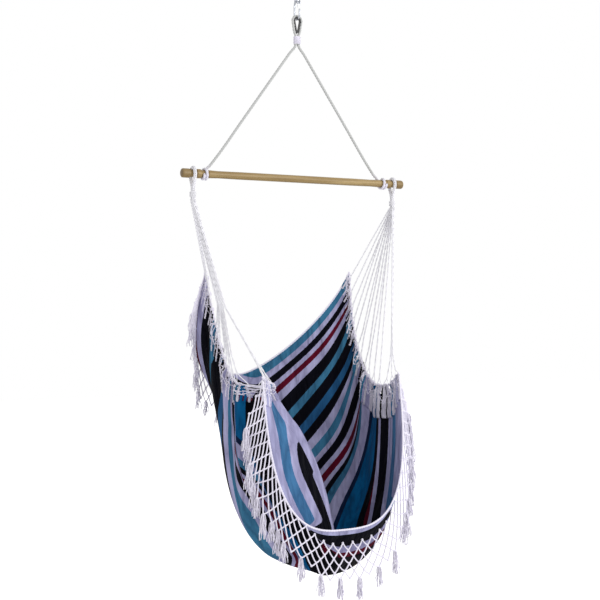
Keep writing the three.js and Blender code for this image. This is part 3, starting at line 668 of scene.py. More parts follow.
@dataclass
class Finish:
    """A material under way: its graph, its shader and the coordinates that it reads."""

    name: str
    constants: dict[str, object] = field(default_factory=dict)

    def __post_init__(self) -> None:
        """Makes the material with its shader's plain values."""
        self.material = bpy.data.materials.new(self.name)
        self.graph = blank_graph(self.material)
        self.shader = self.graph.node("ShaderNodeBsdfPrincipled", self.constants)
        self.graph.node("ShaderNodeOutputMaterial", {0: self.shader.outputs[0]})
        places = self.graph.node("ShaderNodeTexCoord")
        self.place, self.uv = places.outputs["Object"], places.outputs["UV"]

    def wire(self, **sockets: Socket) -> Material:
        """Joins values to the shader's sockets, whose names have _ for a space, and gives the material."""
        self.graph.join(self.shader, **sockets)
        return self.material

    def bump(self, height: object, distance: float, strength: float = 1.0) -> Socket:
        """A normal raised by a height."""
        values = {"Height": height, "Distance": distance, "Strength": strength}
        return self.graph.node("ShaderNodeBump", values).outputs[0]


@dataclass(frozen=True)
class Yarns:
    """The colours of the striped cloth and of the undyed cords."""

    lilac: Colour = linear(180, 178, 216)
    hem: Colour = linear(184, 183, 222)
    teal: Colour = linear(64, 124, 160)
    sky: Colour = linear(72, 124, 170)
    blue: Colour = linear(42, 98, 146)
    deep: Colour = linear(6, 98, 152)
    navy: Colour = linear(18, 36, 70)
    black: Colour = linear(6, 6, 16)
    burgundy: Colour = linear(96, 10, 36)
    undyed: Colour = linear(238, 234, 248)
    rope: Colour = linear(196, 197, 196)
    bleached: Colour = linear(248, 247, 252)


# Where each stripe of the cloth starts, in thousandths of its depth from the back, and its yarn.
STRIPES = (
    (0, "teal"), (35, "lilac"), (57, "black"), (85, "lilac"), (102, "burgundy"), (128, "lilac"),
    (158, "black"), (208, "teal"), (240, "black"), (288, "blue"), (322, "black"), (357, "lilac"),
    (393, "teal"), (427, "lilac"), (448, "black"), (478, "lilac"), (497, "burgundy"), (523, "lilac"),
    (538, "black"), (555, "teal"), (583, "lilac"), (632, "navy"), (652, "deep"), (743, "black"),
    (766, "burgundy"), (780, "lilac"), (800, "black"), (845, "lilac"), (873, "sky"), (905, "hem"),
    (995, "undyed"),
)


@dataclass(frozen=True)
class Worn:
    """A plain finish with a fine grain and small spots worn by handling.

    Attributes:
        name: the material's name.
        constants: the shader's plain values.
        grain: scales of the broad and of the fine grain.
        spot_size: scale of the worn spots.
        spot_amount: how much of the surface they cover.
        fresh: the unworn colour.
        rubbed: the worn colour.
        least_rough: roughness without the grain.
        grain_rough: how far the grain raises it.
        bump: depth of the grain, in metres.
    """

    name: str
    constants: dict[str, object]
    grain: tuple[float, float]
    spot_size: float
    spot_amount: float
    fresh: Colour
    rubbed: Colour
    least_rough: float
    grain_rough: float
    bump: float


ZINC_STEEL = Worn(
    "Zinc steel", {"Metallic": 1.0, "Base Color": (*linear(186, 189, 196), 1)}, grain=(60.0, 900.0),
    spot_size=180.0, spot_amount=0.45, fresh=linear(190, 193, 200), rubbed=linear(150, 152, 158),
    least_rough=0.16, grain_rough=0.25, bump=0.05 * MM,
)
BLACK_MOULDING = Worn(
    "Black moulding", {"IOR": 1.5, "Coat Weight": 0.15, "Coat Roughness": 0.3}, grain=(80.0, 1400.0),
    spot_size=140.0, spot_amount=0.42, fresh=linear(14, 14, 18), rubbed=linear(46, 46, 50),
    least_rough=0.3, grain_rough=0.3, bump=0.08 * MM,
)


class Finishes:
    """All the chair's materials."""

    def __init__(self) -> None:
        """Builds each finish once: brushed zinc steel, black moulded plastic, wood, cords and cloth."""
        self.effects = Effects()
        self.yarns = yarns = Yarns()
        self.steel, self.thimble = self._worn(ZINC_STEEL), self._worn(BLACK_MOULDING)
        self.wood = self._wood()
        self.rope = self._cord("Rope", yarns.rope, pitch=4 * MM, bump=0.5 * MM, wraps=yarns.undyed)
        self.cord = self._cord("Cord", yarns.undyed, pitch=3 * MM, bump=0.25 * MM)
        self.clew = self._cord("Clew cord", yarns.bleached, pitch=3 * MM, bump=0.2 * MM)
        self.cloth = self._cloth()

    def _mottle(self, finish: Finish, broad: float, fine: float) -> Socket:
        """Uneven colour in a finish, as a value round one half."""
        group = self.effects.mottle
        return self.effects.use(finish.graph, group, finish.place, Broad=broad, Fine=fine).outputs[0]

    def _worn(self, kind: Worn) -> Material:
        """Zinc-plated steel or moulded plastic: a fine grain, and spots rubbed by handling.

        Args:
            kind: the finish's values.

        Returns:
            The material.
        """
        finish = Finish(kind.name, kind.constants)
        graph = finish.graph
        grain = self._mottle(finish, *kind.grain)
        spots = {"Size": kind.spot_size, "Amount": kind.spot_amount}
        worn = self.effects.use(graph, self.effects.wear, finish.place, **spots).outputs[0]
        colour = graph.blend(worn, kind.fresh, kind.rubbed)
        roughness = graph.scaled(grain, kind.grain_rough, kind.least_rough)
        return finish.wire(Base_Color=colour, Roughness=roughness, Normal=finish.bump(grain, kind.bump))

    def _wood(self) -> Material:
        """Oiled pale hardwood turned along X: long grain, darker pores, and ends darker past the outer
        grooves.
        """
        finish = Finish("Turned wood", {"IOR": 1.45, "Coat Weight": 0.12, "Coat Roughness": 0.35})
        graph = finish.graph
        broad = graph.noise(graph.stretched(finish.place, 3.0, 60.0, 60.0), detail=4.0)
        fine = graph.noise(graph.stretched(finish.place, 40.0, 900.0, 900.0))
        shades = [(0.3, linear(124, 99, 56)), (0.5, linear(152, 127, 80)), (0.72, linear(172, 148, 101))]
        rings = graph.maths("SINE", graph.times(broad, 26.0))
        colour = graph.blend(graph.scaled(rings, 0.09, 0.1), graph.ramp(broad, shades), linear(104, 80, 44))
        pores = graph.times(graph.maths("GREATER_THAN", fine, 0.62), 0.35)
        colour = graph.blend(pores, colour, linear(92, 70, 40))
        along = graph.maths("ABSOLUTE", graph.parts(finish.place)[0])
        knob, end_face = (graph.maths("GREATER_THAN", along, start) for start in (0.463, 0.4985))
        # The ends are darker: partly from just past the outer grooves, and more on the end faces.
        darker_ends = graph.scaled(end_face, 0.3, graph.times(knob, 0.25))
        colour = graph.blend(darker_ends, colour, linear(70, 50, 28))
        rough = graph.scaled(fine, 0.3, 0.32)
        height = graph.scaled(fine, -0.5, graph.times(broad, 0.5))
        return finish.wire(Base_Color=colour, Roughness=rough, Normal=finish.bump(height, 0.12 * MM))

    def _cord(
        self, name: str, colour: Colour, pitch: float, bump: float, wraps: Colour | None = None
    ) -> Material:
        """Cotton cord: fine yarns laid round it, with painted shade in their grooves, and a faint fuzz.

        Args:
            name: the material's name.
            colour: the cord's colour.
            pitch: length of one turn of its yarns, in metres.
            bump: depth of its yarns, in metres.
            wraps: its colour where it is wound on the bar, below a soft step from 45 to 5 mm above.

        Returns:
            The material.
        """
        fuzz = {"Sheen Weight": 0.15, "Sheen Roughness": 0.5, "Roughness": 0.9, "Specular IOR Level": 0.2}
        finish = Finish(name, fuzz)
        graph = finish.graph
        yarn = self.effects.use(graph, self.effects.twist, finish.uv, Pitch=pitch, Plies=6.0)
        mottle = self._mottle(finish, 14.0, 500.0)
        # Painted shade: the colour darkens towards a grey in the yarns' grooves, plus a little mottle as
        # uneven tone.
        groove_shade_and_mottle = graph.scaled(yarn.outputs["Groove"], 0.25, graph.times(mottle, 0.1))
        grey = tuple(0.62 * channel for channel in colour)
        if wraps:
            low = graph.scaled(graph.parts(finish.place)[2], -25.0, -17.4)
            colour = graph.blend(graph.clamped(low), colour, wraps)
        height = graph.scaled(mottle, 0.5, yarn.outputs["Height"])
        rough = graph.scaled(mottle, 0.15, 0.8)
        shaded = graph.blend(groove_shade_and_mottle, colour, grey)
        return finish.wire(Base_Color=shaded, Roughness=rough, Normal=finish.bump(height, bump))

    def _cloth(self) -> Material:
        """Woven striped cotton: stripes across its depth, weave ribs, slubs, faded patches, crease bumps and
        painted shade in the crease valleys.
        """
        cotton = {"Sheen Weight": 0.02, "Sheen Roughness": 0.5, "Roughness": 0.92, "Specular IOR Level": 0.06}
        finish = Finish("Striped cloth", cotton)
        graph = finish.graph
        woven = self.effects.use(graph, self.effects.weave, finish.uv).outputs
        waver = graph.scaled(woven["Slub"], 0.003, -0.0015)
        depth = graph.maths("ADD", graph.parts(finish.uv)[1], waver)
        stops = [(start / 1000, getattr(self.yarns, yarn)) for start, yarn in STRIPES]
        faded = graph.times(self._mottle(finish, 16.0, 260.0), 0.005)
        colour = graph.blend(faded, graph.ramp(depth, stops, "CONSTANT"), linear(150, 156, 178))
        colour = graph.blend(graph.times(woven["Slub"], 0.25), colour, linear(20, 16, 34), "MULTIPLY")
        # Painted shade in the creases: a stretched noise marks hung creases, and the colour is darkened along
        # their valleys; the same creases also raise the bump below.
        hung = graph.noise(graph.stretched(finish.place, 14.0, 14.0, 3.5), detail=3.0)
        creases = graph.maths("ABSOLUTE", graph.maths("SUBTRACT", hung, 0.5))
        valley = graph.maths("MAXIMUM", graph.scaled(creases, -8.0, 1.0), 0.0)
        colour = graph.blend(graph.times(valley, 0.42), colour, linear(110, 104, 132), "MULTIPLY")
        height = graph.scaled(woven["Slub"], 0.4, woven["Height"])
        height = graph.scaled(creases, 110.0, height)
        return finish.wire(Base_Color=colour, Normal=finish.bump(height, 0.5 * MM))


# ---- Hanging hook and bridle ----


@dataclass(frozen=True)
class SnapHook:
    """Swivel eye and snap hook of plated steel, above the rope's eye."""

    hang: Hang
    finishes: Finishes
    eye_radius: float = 15 * MM
    eye_wire: float = 4 * MM
    stem_radius: float = 5 * MM
    rivet_radius: float = 7.6 * MM
    rivet_height: float = 4.5 * MM
    collar_radius: float = 11 * MM
    collar_top: float = -33 * MM
    collar_height: float = 10 * MM
    wire_radius: float = 3.7 * MM
    nose_rise: float = 36 * MM
    gate_width: float = 7.4 * MM
    gate_thickness: float = 4 * MM
    gate_eye: float = 3.4 * MM
    gate_drop: float = -50 * MM
    gate_overlap: float = 7 * MM
    gate_skin: float = 0.7 * MM
    stem_play: float = 0.4 * MM
    root_swell_share: float = 0.12
    nose_taper_share: float = 0.45
    pin_radius: float = 1.4 * MM
    pin_head: float = 2.4 * MM
    ear: float = 2.4 * MM
    spring_wire: float = 0.3 * MM
    spring_turns: float = 2.5

    def build(self) -> None:
        """Builds the eye, the hook, its gate, pin and spring."""
        steel = self.finishes.steel
        self._eye().piece("swivel_eye_smooth", Body.HANGER, steel, "steel", "swivel_eye")
        self._hook().piece("snap_hook_smooth", Body.HOOK, steel, "steel", "snap_hook_body")
        self._gate().piece("snap_gate_smooth", Body.GATE, steel, "steel", "snap_hook_gate")
        self._pin().piece("gate_pin_smooth", Body.HOOK, steel, "steel", "gate_pin")
        self._spring().piece("gate_spring_coil", Body.HOOK, steel, "spring_steel", "gate_spring")

    def _eye(self) -> Shell:
        """A ring in the XZ plane on a turned stem with a domed rivet head."""
        centre = -(self.eye_radius - self.eye_wire)
        path = circle(np.linspace(0, TURN, 65), self.eye_radius, (0, 0, centre), (0, 2))
        ring = tubes(path, self.eye_wire, 20, (0, 1, 0))
        under = self.collar_top - self.collar_height - self.hang.gap
        shoulder, top = self.collar_top + self.hang.gap, centre - self.eye_radius
        end = under - self.rivet_height
        corners = [
            (0, end), (self.rivet_radius * 0.6, end), (self.rivet_radius, end + self.rivet_height * 0.6),
            (self.rivet_radius, under), (self.stem_radius, under), (self.stem_radius, shoulder),
            (self.collar_radius * 0.9, shoulder), (self.stem_radius * 1.1, shoulder + 3 * MM),
            (self.stem_radius, top), (0, top),
        ]
        return Shell.joined([ring, lathe(rounded_profile(corners, 0.3 * MM, 0.6 * MM), 32)])

    def _bow(self) -> Array:
        """Middle line of the back arm and open bow, ending in the nose."""
        reach = self.hang.bow_radius + self.wire_radius
        centre = self.hang.bow_bottom + self.hang.bow_radius
        middle = self.collar_top - self.collar_height / 2
        arm = [
            (0, self.collar_radius - self.hang.gap, middle + self.collar_height / 4),
            (0, (self.collar_radius + reach) / 2, middle - self.collar_height / 2),
            (0, reach, middle - 2 * self.collar_height),
            (0, reach, (centre + middle) / 2 - self.collar_height),
        ]
        arc = circle(-np.linspace(0, math.pi, 13), reach, (0, 0, centre), (1, 2))
        nose = [(0, -reach, self.hang.bow_bottom + self.nose_rise)]
        return smoothed(np.concatenate([arm, arc, nose]), 1.5 * MM)

    def _hook(self) -> Shell:
        """Collar ring, swept arm and bow, and the two ears that hold the gate's pin."""
        path = self._bow()
        share = np.linspace(0, 1, len(path))
        root, nose = ease(1 - share / 0.15), rise(share, 0.97, 0.03)
        radius = self.wire_radius * (1 + self.root_swell_share * root) * (1 - self.nose_taper_share * nose**2)
        frame = tubes(path, radius, 20, (1, 0, 0))
        inner, top = self.stem_radius + self.stem_play, self.collar_top
        low = top - self.collar_height
        ring = circle(np.linspace(0, TURN, 49), (inner + self.collar_radius) / 2)
        collar = self._flat_tube(ring, (self.collar_radius - inner) / 2, (top - low) / 2, (0, 0, 1))
        collar = collar.turned(move=(0, 0, (top + low) / 2))
        return Shell.joined([frame, collar, *[self._ear(hand) for hand in (-1, 1)]])

    @staticmethod
    def _flat_tube(path: Array, half_width: float, half_height: float, lean: tuple) -> Shell:
        """A tube of rounded oblong section: cos and sin of the angle to the power 0.34.

        Args:
            path: its middle line, (n, 3).
            half_width: half its width, at right angles to the lean.
            half_height: half its height, along the lean.
            lean: the vector that its height keeps to.

        Returns:
            The closed tube.
        """
        _, normal, side = frames(path, lean)
        turn = np.arange(24) * TURN / 24
        high, wide = (np.sign(wave) * np.abs(wave) ** 0.34 for wave in (np.cos(turn), np.sin(turn)))
        offset = half_height * high[:, None] * normal[:, None] + half_width * wide[:, None] * side[:, None]
        return Shell.grid(path[:, None] + offset, run_lengths(path), np.arange(25) / 24, wrap=True, caps=True)

    @property
    def pivot_y(self) -> float:
        """How far to the front the gate hangs: just inside the nose."""
        return -self.hang.bow_radius + self.hang.gap + self.gate_thickness / 2

    def _ear(self, hand: int) -> Shell:
        """A flat lug beside the gate, from the collar down round the pin.

        Args:
            hand: -1 or 1, for its side along X.

        Returns:
            The closed lug.
        """
        inner = self.gate_width / 2 + self.hang.gap
        x = hand * (inner + self.ear / 2)
        path = [
            (x, -self.stem_radius * 1.4, self.collar_top - 4 * MM),
            (x, self.pivot_y + 1.5 * MM, self.collar_top - 9 * MM),
            (x, self.pivot_y, self.gate_drop),
            (x, self.pivot_y, self.gate_drop - self.gate_eye),
        ]
        return self._flat_tube(smoothed(path, 0.8 * MM), self.gate_eye, self.ear / 2, (1, 0, 0))

    def _gate(self) -> Shell:
        """A folded channel: two cheeks and a web that taper from the pin to the nose."""
        low = self.hang.bow_bottom + self.nose_rise + self.gate_overlap

        def strip(x: float, y: float, top: float, half_width: float, lean: tuple) -> Shell:
            """An upright strip of the channel's sheet."""
            z = np.linspace(top, low, 24)
            line = np.stack([x + 0 * z, y + 0 * z, z], -1)
            return self._flat_tube(line, half_width, self.gate_skin, lean)

        cheek_x, cheek_top = self.gate_width / 2 - self.gate_skin, self.gate_drop + self.gate_eye * 0.7
        half_cheek, half_web = self.gate_eye * 0.72, self.gate_width / 2 - self.hang.gap
        cheeks = [strip(hand * cheek_x, self.pivot_y, cheek_top, half_cheek, (1, 0, 0)) for hand in (-1, 1)]
        web_y = self.pivot_y - self.gate_thickness / 2 + self.gate_skin
        web_top = self.gate_drop - 2 * self.gate_eye
        return Shell.joined([*cheeks, strip(0, web_y, web_top, half_web, (0, 1, 0))])

    def _pin(self) -> Shell:
        """A turned pin with a domed head at each end, along X."""
        half = self.gate_width / 2 + self.ear + 2 * self.hang.gap
        end = half + 1.2 * MM
        r, head = self.pin_radius, self.pin_head
        side = [(r, half), (head, half), (head * 0.7, end), (0, end)]
        corners = [(radius, -x) for radius, x in side[::-1]] + side
        turned = lathe(rounded_profile(corners, 0.15 * MM, 0.2 * MM), 20)
        return turned.turned((2, 0, 1), (0, self.pivot_y, self.gate_drop))

    def _spring(self) -> Shell:
        """A short coil round the pin, between the cheeks."""
        radius = self.pin_radius + self.hang.gap + self.spring_wire
        reach = self.gate_width / 2 - 1.4 * MM - self.hang.gap - self.spring_wire
        turn = np.linspace(0, TURN * self.spring_turns, 81)
        path = circle(turn, radius, (np.linspace(-reach, reach, 81), self.pivot_y, self.gate_drop), (1, 2))
        return tubes(path, self.spring_wire, 8, (1, 0, 0))


@dataclass(frozen=True)
class Bridle:
    """Laid rope over a thimble, its seizing, and the turned bar that it holds."""

    hang: Hang
    finishes: Finishes
    rope_radius: float = 5.5 * MM
    wrap_turns: float = 1.5
    wrap_pitch: float = 11.9 * MM
    lay_pitch: float = 38 * MM
    thimble_radius: float = 11 * MM
    thimble_wall: float = 2.4 * MM
    thimble_lip: float = 2 * MM
    thimble_tip: float = 3.6 * MM
    thimble_drop: float = 42 * MM
    seizing_length: float = 34 * MM
    seizing_cord: float = 1.9 * MM
    seizing_turns: int = 8
    bar_radius: float = 14.5 * MM
    waist_radius: float = 13.8 * MM
    shoulder_radius: float = 15.2 * MM
    shoulder_length: float = 42 * MM
    rope_groove: float = 31 * MM
    clew_groove: float = 27 * MM
    bead_radius: float = 17.5 * MM
    edge_round: float = 3 * MM
    leg_shares: tuple = (0.06, 0.14, 0.4, 0.7, 0.93)
    dome_shares: tuple = (0.93, 0.72, 0.36)
    end_taper_share: float = 0.004

    def build(self) -> None:
        """Builds the rope, thimble, seizing and bar."""
        made, body = self.finishes, Body.BRIDLE
        self._rope().piece("bridle_rope_lay", body, made.rope, "rope", "bridle_rope")
        self._thimble().piece("eye_thimble_moulded", body, made.thimble, "thimble", "eye_thimble")
        self._seizing().piece("rope_seizing_cord", body, made.cord, "cord", "rope_seizing")
        self._bar().piece("spreader_bar_turned", body, made.wood, "wood", "spreader_bar")

    @property
    def seizing_top(self) -> float:
        """Height at which the two ropes come together below the thimble."""
        centre = self.hang.thimble_top - self.thimble_radius
        return centre - self.thimble_drop - self.thimble_tip - self.thimble_wall - 2 * self.rope_radius

    def rope_path(self) -> tuple[Array, Array]:
        """The rope's middle line from end to end, and the vectors that its section keeps to."""
        gap, r, drop = self.hang.gap, self.rope_radius, self.hang.bar_drop
        around = self.hang.groove_radius + gap + r
        half_wrap = self.wrap_turns * self.wrap_pitch / 2
        share = np.linspace(0, 1, 61)
        turn = TURN * self.wrap_turns * (share - 1)
        wrap = circle(turn, around, (self.hang.rope_seat + half_wrap * (1 - 2 * share), 0, -drop), (1, 2))
        leave, beside = wrap[-1], r + gap
        foot = np.array([beside, 0, self.seizing_top - self.seizing_length])
        lift = np.array([-r / 4, 0, 2 * r])
        first, *others = self.leg_shares
        leg = [leave + lift, leave + first * (foot - leave) + (lift[0], 0, r)]
        leg += [leave + part * (foot - leave) for part in others]
        half_up = self.seizing_top - self.seizing_length / 2
        neck = [foot, (beside, 0, half_up), (beside, 0, self.seizing_top)]
        outer = self.thimble_radius + self.thimble_wall + gap + r
        centre = self.hang.thimble_top + self.thimble_wall + gap + r - outer
        lean = math.asin((outer - beside) / self.thimble_drop) / 2
        arc = circle(np.linspace(-lean, math.pi / 2, 14), outer, (0, 0, centre), (0, 2))
        tip = np.array([self.thimble_tip + self.thimble_wall + 2 * gap + r, 0, centre - self.thimble_drop])
        eye = [(neck[-1] + tip) / 2, tip, (tip + arc[0]) / 2]
        half = np.concatenate([wrap, leg, neck, eye, arc])
        whole = np.concatenate([half, (half * (-1, 1, 1))[-2::-1]])
        path = smoothed(whole, 2.5 * MM)
        above = ease((path[:, 2] + drop - 2 * around) / (4 * around))
        return path, mix(np.array((1.0, 0, 0)), np.array((0, 1.0, 0)), above)

    def _rope(self) -> Shell:
        """Three strands laid round each other, as a tube with three wound ridges."""
        path, lean = self.rope_path()
        share = np.linspace(0, 1, len(path))
        blunt = np.minimum(1, 0.55 + 0.45 * np.minimum(share, 1 - share) / self.end_taper_share)
        return tubes(path, self.rope_radius * blunt, 24, lean, ply=3, pitch=self.lay_pitch, notch=0.34)

    def _teardrop(self, radius: float, top: float) -> Array:
        """The closed line of the thimble: an arc over the top and two straight sides to a small tip.

        Args:
            radius: radius of the arc.
            top: height of the arc's top.

        Returns:
            Points of the line, whose last is its first.
        """
        centre = top - radius
        lean = math.asin((radius - self.thimble_tip) / self.thimble_drop)
        arc = circle(np.linspace(-lean, math.pi + lean, 25), radius, (0, 0, centre), (0, 2))
        turn = np.linspace(math.pi + lean, TURN - lean, 7)
        tip = circle(turn, self.thimble_tip, (0, 0, centre - self.thimble_drop), (0, 2))
        share = np.linspace(0, 1, 9)[1:-1]
        return np.concatenate([arc, mix(arc[-1], tip[0], share), tip, mix(tip[-1], arc[0], share), arc[:1]])

    def _thimble(self) -> Shell:
        """A grooved band round the teardrop, with lips that keep the rope."""
        wall, half = self.thimble_wall, self.hang.thimble_width / 2
        path = self._teardrop(self.thimble_radius + wall / 2, self.hang.thimble_top + wall / 2)
        _, normal, side = frames(path, (0, 1.0, 0))
        inner, lip = half - wall / 2, wall / 2 + self.thimble_lip
        corners = [
            (-half, -wall / 2), (half, -wall / 2), (half, lip), (inner, lip), (inner, wall * 0.6),
            (0, wall / 4), (-inner, wall * 0.6), (-inner, lip), (-half, lip), (-half, -wall / 2),
        ]
        section = rounded_profile(corners, 0.5 * MM, 0.5 * MM)[:-1]
        offset = section[:, :1] * normal[:, None, :] - section[:, 1:] * side[:, None, :]
        grid, around = (path[:, None] + offset)[:, ::-1], np.arange(len(section) + 1) / len(section)
        return Shell.grid(grid, run_lengths(path), around, wrap=True, caps=True)

    def _seizing(self) -> Shell:
        """One twisted cord wound round both ropes: cos and sin of the turn, drawn out sideways."""
        beside = self.rope_radius + self.hang.gap
        turn = np.linspace(0, TURN * self.seizing_turns, 30 * self.seizing_turns)
        shift = beside * np.clip(2 * np.cos(turn), -1, 1)
        span = self.seizing_length - 2 * self.seizing_cord
        z = self.seizing_top - self.seizing_length / 2 + np.linspace(-span / 2, span / 2, len(turn))
        path = circle(turn, beside + self.seizing_cord, (shift, 0, z))
        return tubes(path, self.seizing_cord, 10, (0, 0, 1), ply=2, pitch=9 * MM, notch=0.3)

    def _bar(self) -> Shell:
        """A turned profile with waists, grooves, beads and domed ends, along X."""
        hang, half, edge = self.hang, self.hang.bar_half, self.edge_round
        rope_in, rope_out = hang.rope_seat - self.rope_groove / 2, hang.rope_seat + self.rope_groove / 2
        clew_in, clew_out = hang.clew_seat - self.clew_groove / 2, hang.clew_seat + self.clew_groove / 2
        groove, bead = hang.groove_radius, self.bead_radius
        side = [
            (self.bar_radius, 0), (self.bar_radius, rope_in - 3 * self.shoulder_length),
            (self.waist_radius, rope_in - self.shoulder_length), (self.shoulder_radius, rope_in - edge),
            (self.shoulder_radius, rope_in), (groove, rope_in + edge / 4), (groove, rope_out),
            (bead - edge / 2, rope_out), (bead, rope_out + edge), (bead, clew_in - edge),
            (bead - edge / 2, clew_in), (groove, clew_in), (groove, clew_out), (bead - edge / 2, clew_out),
            (bead, clew_out + edge), (bead, half - 2 * edge),
            *((bead * share, x) for share, x in zip(self.dome_shares, (half - edge, half - edge / 3, half))),
            (0, half),
        ]
        corners = [(r, -x) for r, x in side[:0:-1]] + side
        turned = lathe(rounded_profile(corners, 0.8 * MM, 0.8 * MM), 40)
        return turned.turned((2, 0, 1), (0, 0, -hang.bar_drop))


# ---- The sling's surface ----


@dataclass(frozen=True)
class SlingShape:
    """The hung cloth's surface, from the shapes of its end edges and of its lowest line.

    Each curve across runs from the left end edge down to the lowest line and up to the right end
    edge: on each hand out = cos(a)^(2 / fullness) and down = sin(a)^(2 / fullness). On the left
    limb the cloth bulges outwards at the back (lapel) and low down (belly), where it also sags by
    a share of the bulge, and the turned-in front hangs further inwards (flap).

    A table has a row each for x, y and the way down, in shares of half_width, depth and drop,
    with one entry for each of key_shares, the shares of the cloth's depth from back to front.
    """

    half_width: float = 330 * MM
    depth: float = 650 * MM
    top: float = 1100 * MM
    drop: float = 1170 * MM
    fold_height: float = 17 * MM
    fold_count: int = 5
    fold_reach: float = 620 * MM
    gather_height: float = 6 * MM
    gather_reach: float = 190 * MM
    crumple: float = 3.2 * MM
    lapel: float = 28 * MM
    belly: float = 46 * MM
    flap: float = 50 * MM
    sag: float = 0.35
    outwards: tuple = (-0.866, 0.5, 0)
    cords: int = 14
    key_shares: tuple = (0, 0.15, 0.3, 0.45, 0.6, 0.74, 0.84, 0.92, 1)
    right_shares: tuple = (
        (1, 1, 1, 1, 1, 1, 0.994, 0.964, 0.909),
        (0.215, 0.192, 0.154, 0.085, -0.008, -0.123, -0.231, -0.323, -0.415),
        (0, 0.111, 0.214, 0.299, 0.363, 0.393, 0.389, 0.368, 0.342),
    )
    left_shares: tuple = (
        (1, 0.955, 0.909, 0.903, 0.903, 0.894, 0.63, 0.77, 0.909),
        (0.215, 0.192, 0.154, 0.085, -0.008, -0.108, -0.29, -0.37, -0.415),
        (0, 0.111, 0.209, 0.282, 0.342, 0.372, 0.38, 0.36, 0.342),
    )
    keel_shares: tuple = (
        (-0.3, -0.24, -0.16, -0.09, 0, 0.02, 0.06, 0.03, 0),
        (0.446, 0.38, 0.298, 0.197, 0.069, -0.106, -0.265, -0.435, -0.554),
        (0.359, 0.496, 0.632, 0.765, 0.897, 0.983, 1, 0.945, 0.825),
    )
    left_fullness: tuple = (3, 2.8, 2.6, 2.5, 2.3, 1.9, 0.7, 1.15, 3)
    right_fullness: tuple = (1.4, 1.45, 1.6, 1.9, 2.2, 2.4, 2.6, 2.8, 3)

    @property
    def cord_shares(self) -> Array:
        """Shares of the depth at which the cords tie on."""
        return (np.arange(self.cords) + 0.5) / self.cords

    def read(self, values: tuple, shares: Array) -> Array:
        """A table's rounded values at shares of the depth."""
        return blended(np.array(self.key_shares, float), np.array(values, float), shares)

    def placed(self, table: tuple, shares: Array, hand: int) -> Array:
        """Points of a table of shares at shares of the depth, in metres."""
        x, y, z = (self.read(row, shares) for row in table)
        return np.stack([hand * self.half_width * x, self.depth * y, -self.top - self.drop * z], -1)

    def end_line(self, side: Side, shares: Array) -> Array:
        """Points of an end edge at shares of the depth."""
        table = self.right_shares if side is Side.RIGHT else self.left_shares
        return self.placed(table, shares, side.value)

    def lines(self, shares: Array) -> tuple[Array, Array]:
        """Curves across the sling as (curves, steps, 3), and the length run along each.

        The left limb is moved sideways by half waves of the place p along a curve: lapel
        sin(pi p / 0.4), belly sin(pi (p - 0.08) / 0.5) and flap sin(pi (p - 0.18) / 0.32) less 0.6
        sin(pi (p - 0.02) / 0.17), each over its own shares of the depth.

        Args:
            shares: shares of the depth, one for each curve.

        Returns:
            The curves' points and the length run along them, in metres.
        """
        keel = self.placed(self.keel_shares, shares, 1)
        angle = np.linspace(0, math.pi / 2, 81)

        def limb(side: Side, fullness: Array) -> Array:
            """One hand's half of each curve, from the end edge to the lowest line.

            Args:
                side: which hand.
                fullness: how full each curve is there.

            Returns:
                Points, (curves, steps, 3).
            """
            end = self.end_line(side, shares)
            out = np.cos(angle)[None] ** (2 / fullness[:, None])
            down = np.sin(angle)[None] ** (2 / fullness[:, None])
            x = keel[:, :1] + (end[:, :1] - keel[:, :1]) * out
            rest = end[:, None, 1:] + (keel[:, None, 1:] - end[:, None, 1:]) * down[..., None]
            return np.concatenate([x[..., None], rest], -1)

        left = limb(Side.LEFT, self.read(self.left_fullness, shares))
        right = limb(Side.RIGHT, self.read(self.right_fullness, shares))[:, ::-1]
        lines = np.concatenate([left, right[:, 1:]], 1)
        place = np.linspace(0, 1, lines.shape[1])[None]
        lapel = self.lapel * hump(place, 0, 0.4) * (1 - ease(shares / 0.2))[:, None]
        low = (rise(shares, 0.22, 0.38) * fall(shares, 0.88, 0.2))[:, None]
        belly = self.belly * hump(place, 0.08, 0.5) * low
        inward = hump(place, 0.18, 0.32) - 0.6 * hump(place, 0.02, 0.17)
        inward = inward * hump(shares, 0.7, 0.26)[:, None]
        aside = (lapel + belly - self.flap * inward)[..., None] * np.array(self.outwards)
        lines = lines + aside + (self.sag * belly)[..., None] * DOWN
        return lines, run_lengths(lines)

    def reaches(self, shares: Array, count: int, left: Array, right: Array) -> Array:
        """Evenly spaced distances along each curve, set in from its two ends, as (curves, count)."""
        whole = self.lines(shares)[1][:, -1:]
        return left[:, None] + (whole - (left + right)[:, None]) * np.linspace(0, 1, count)[None]

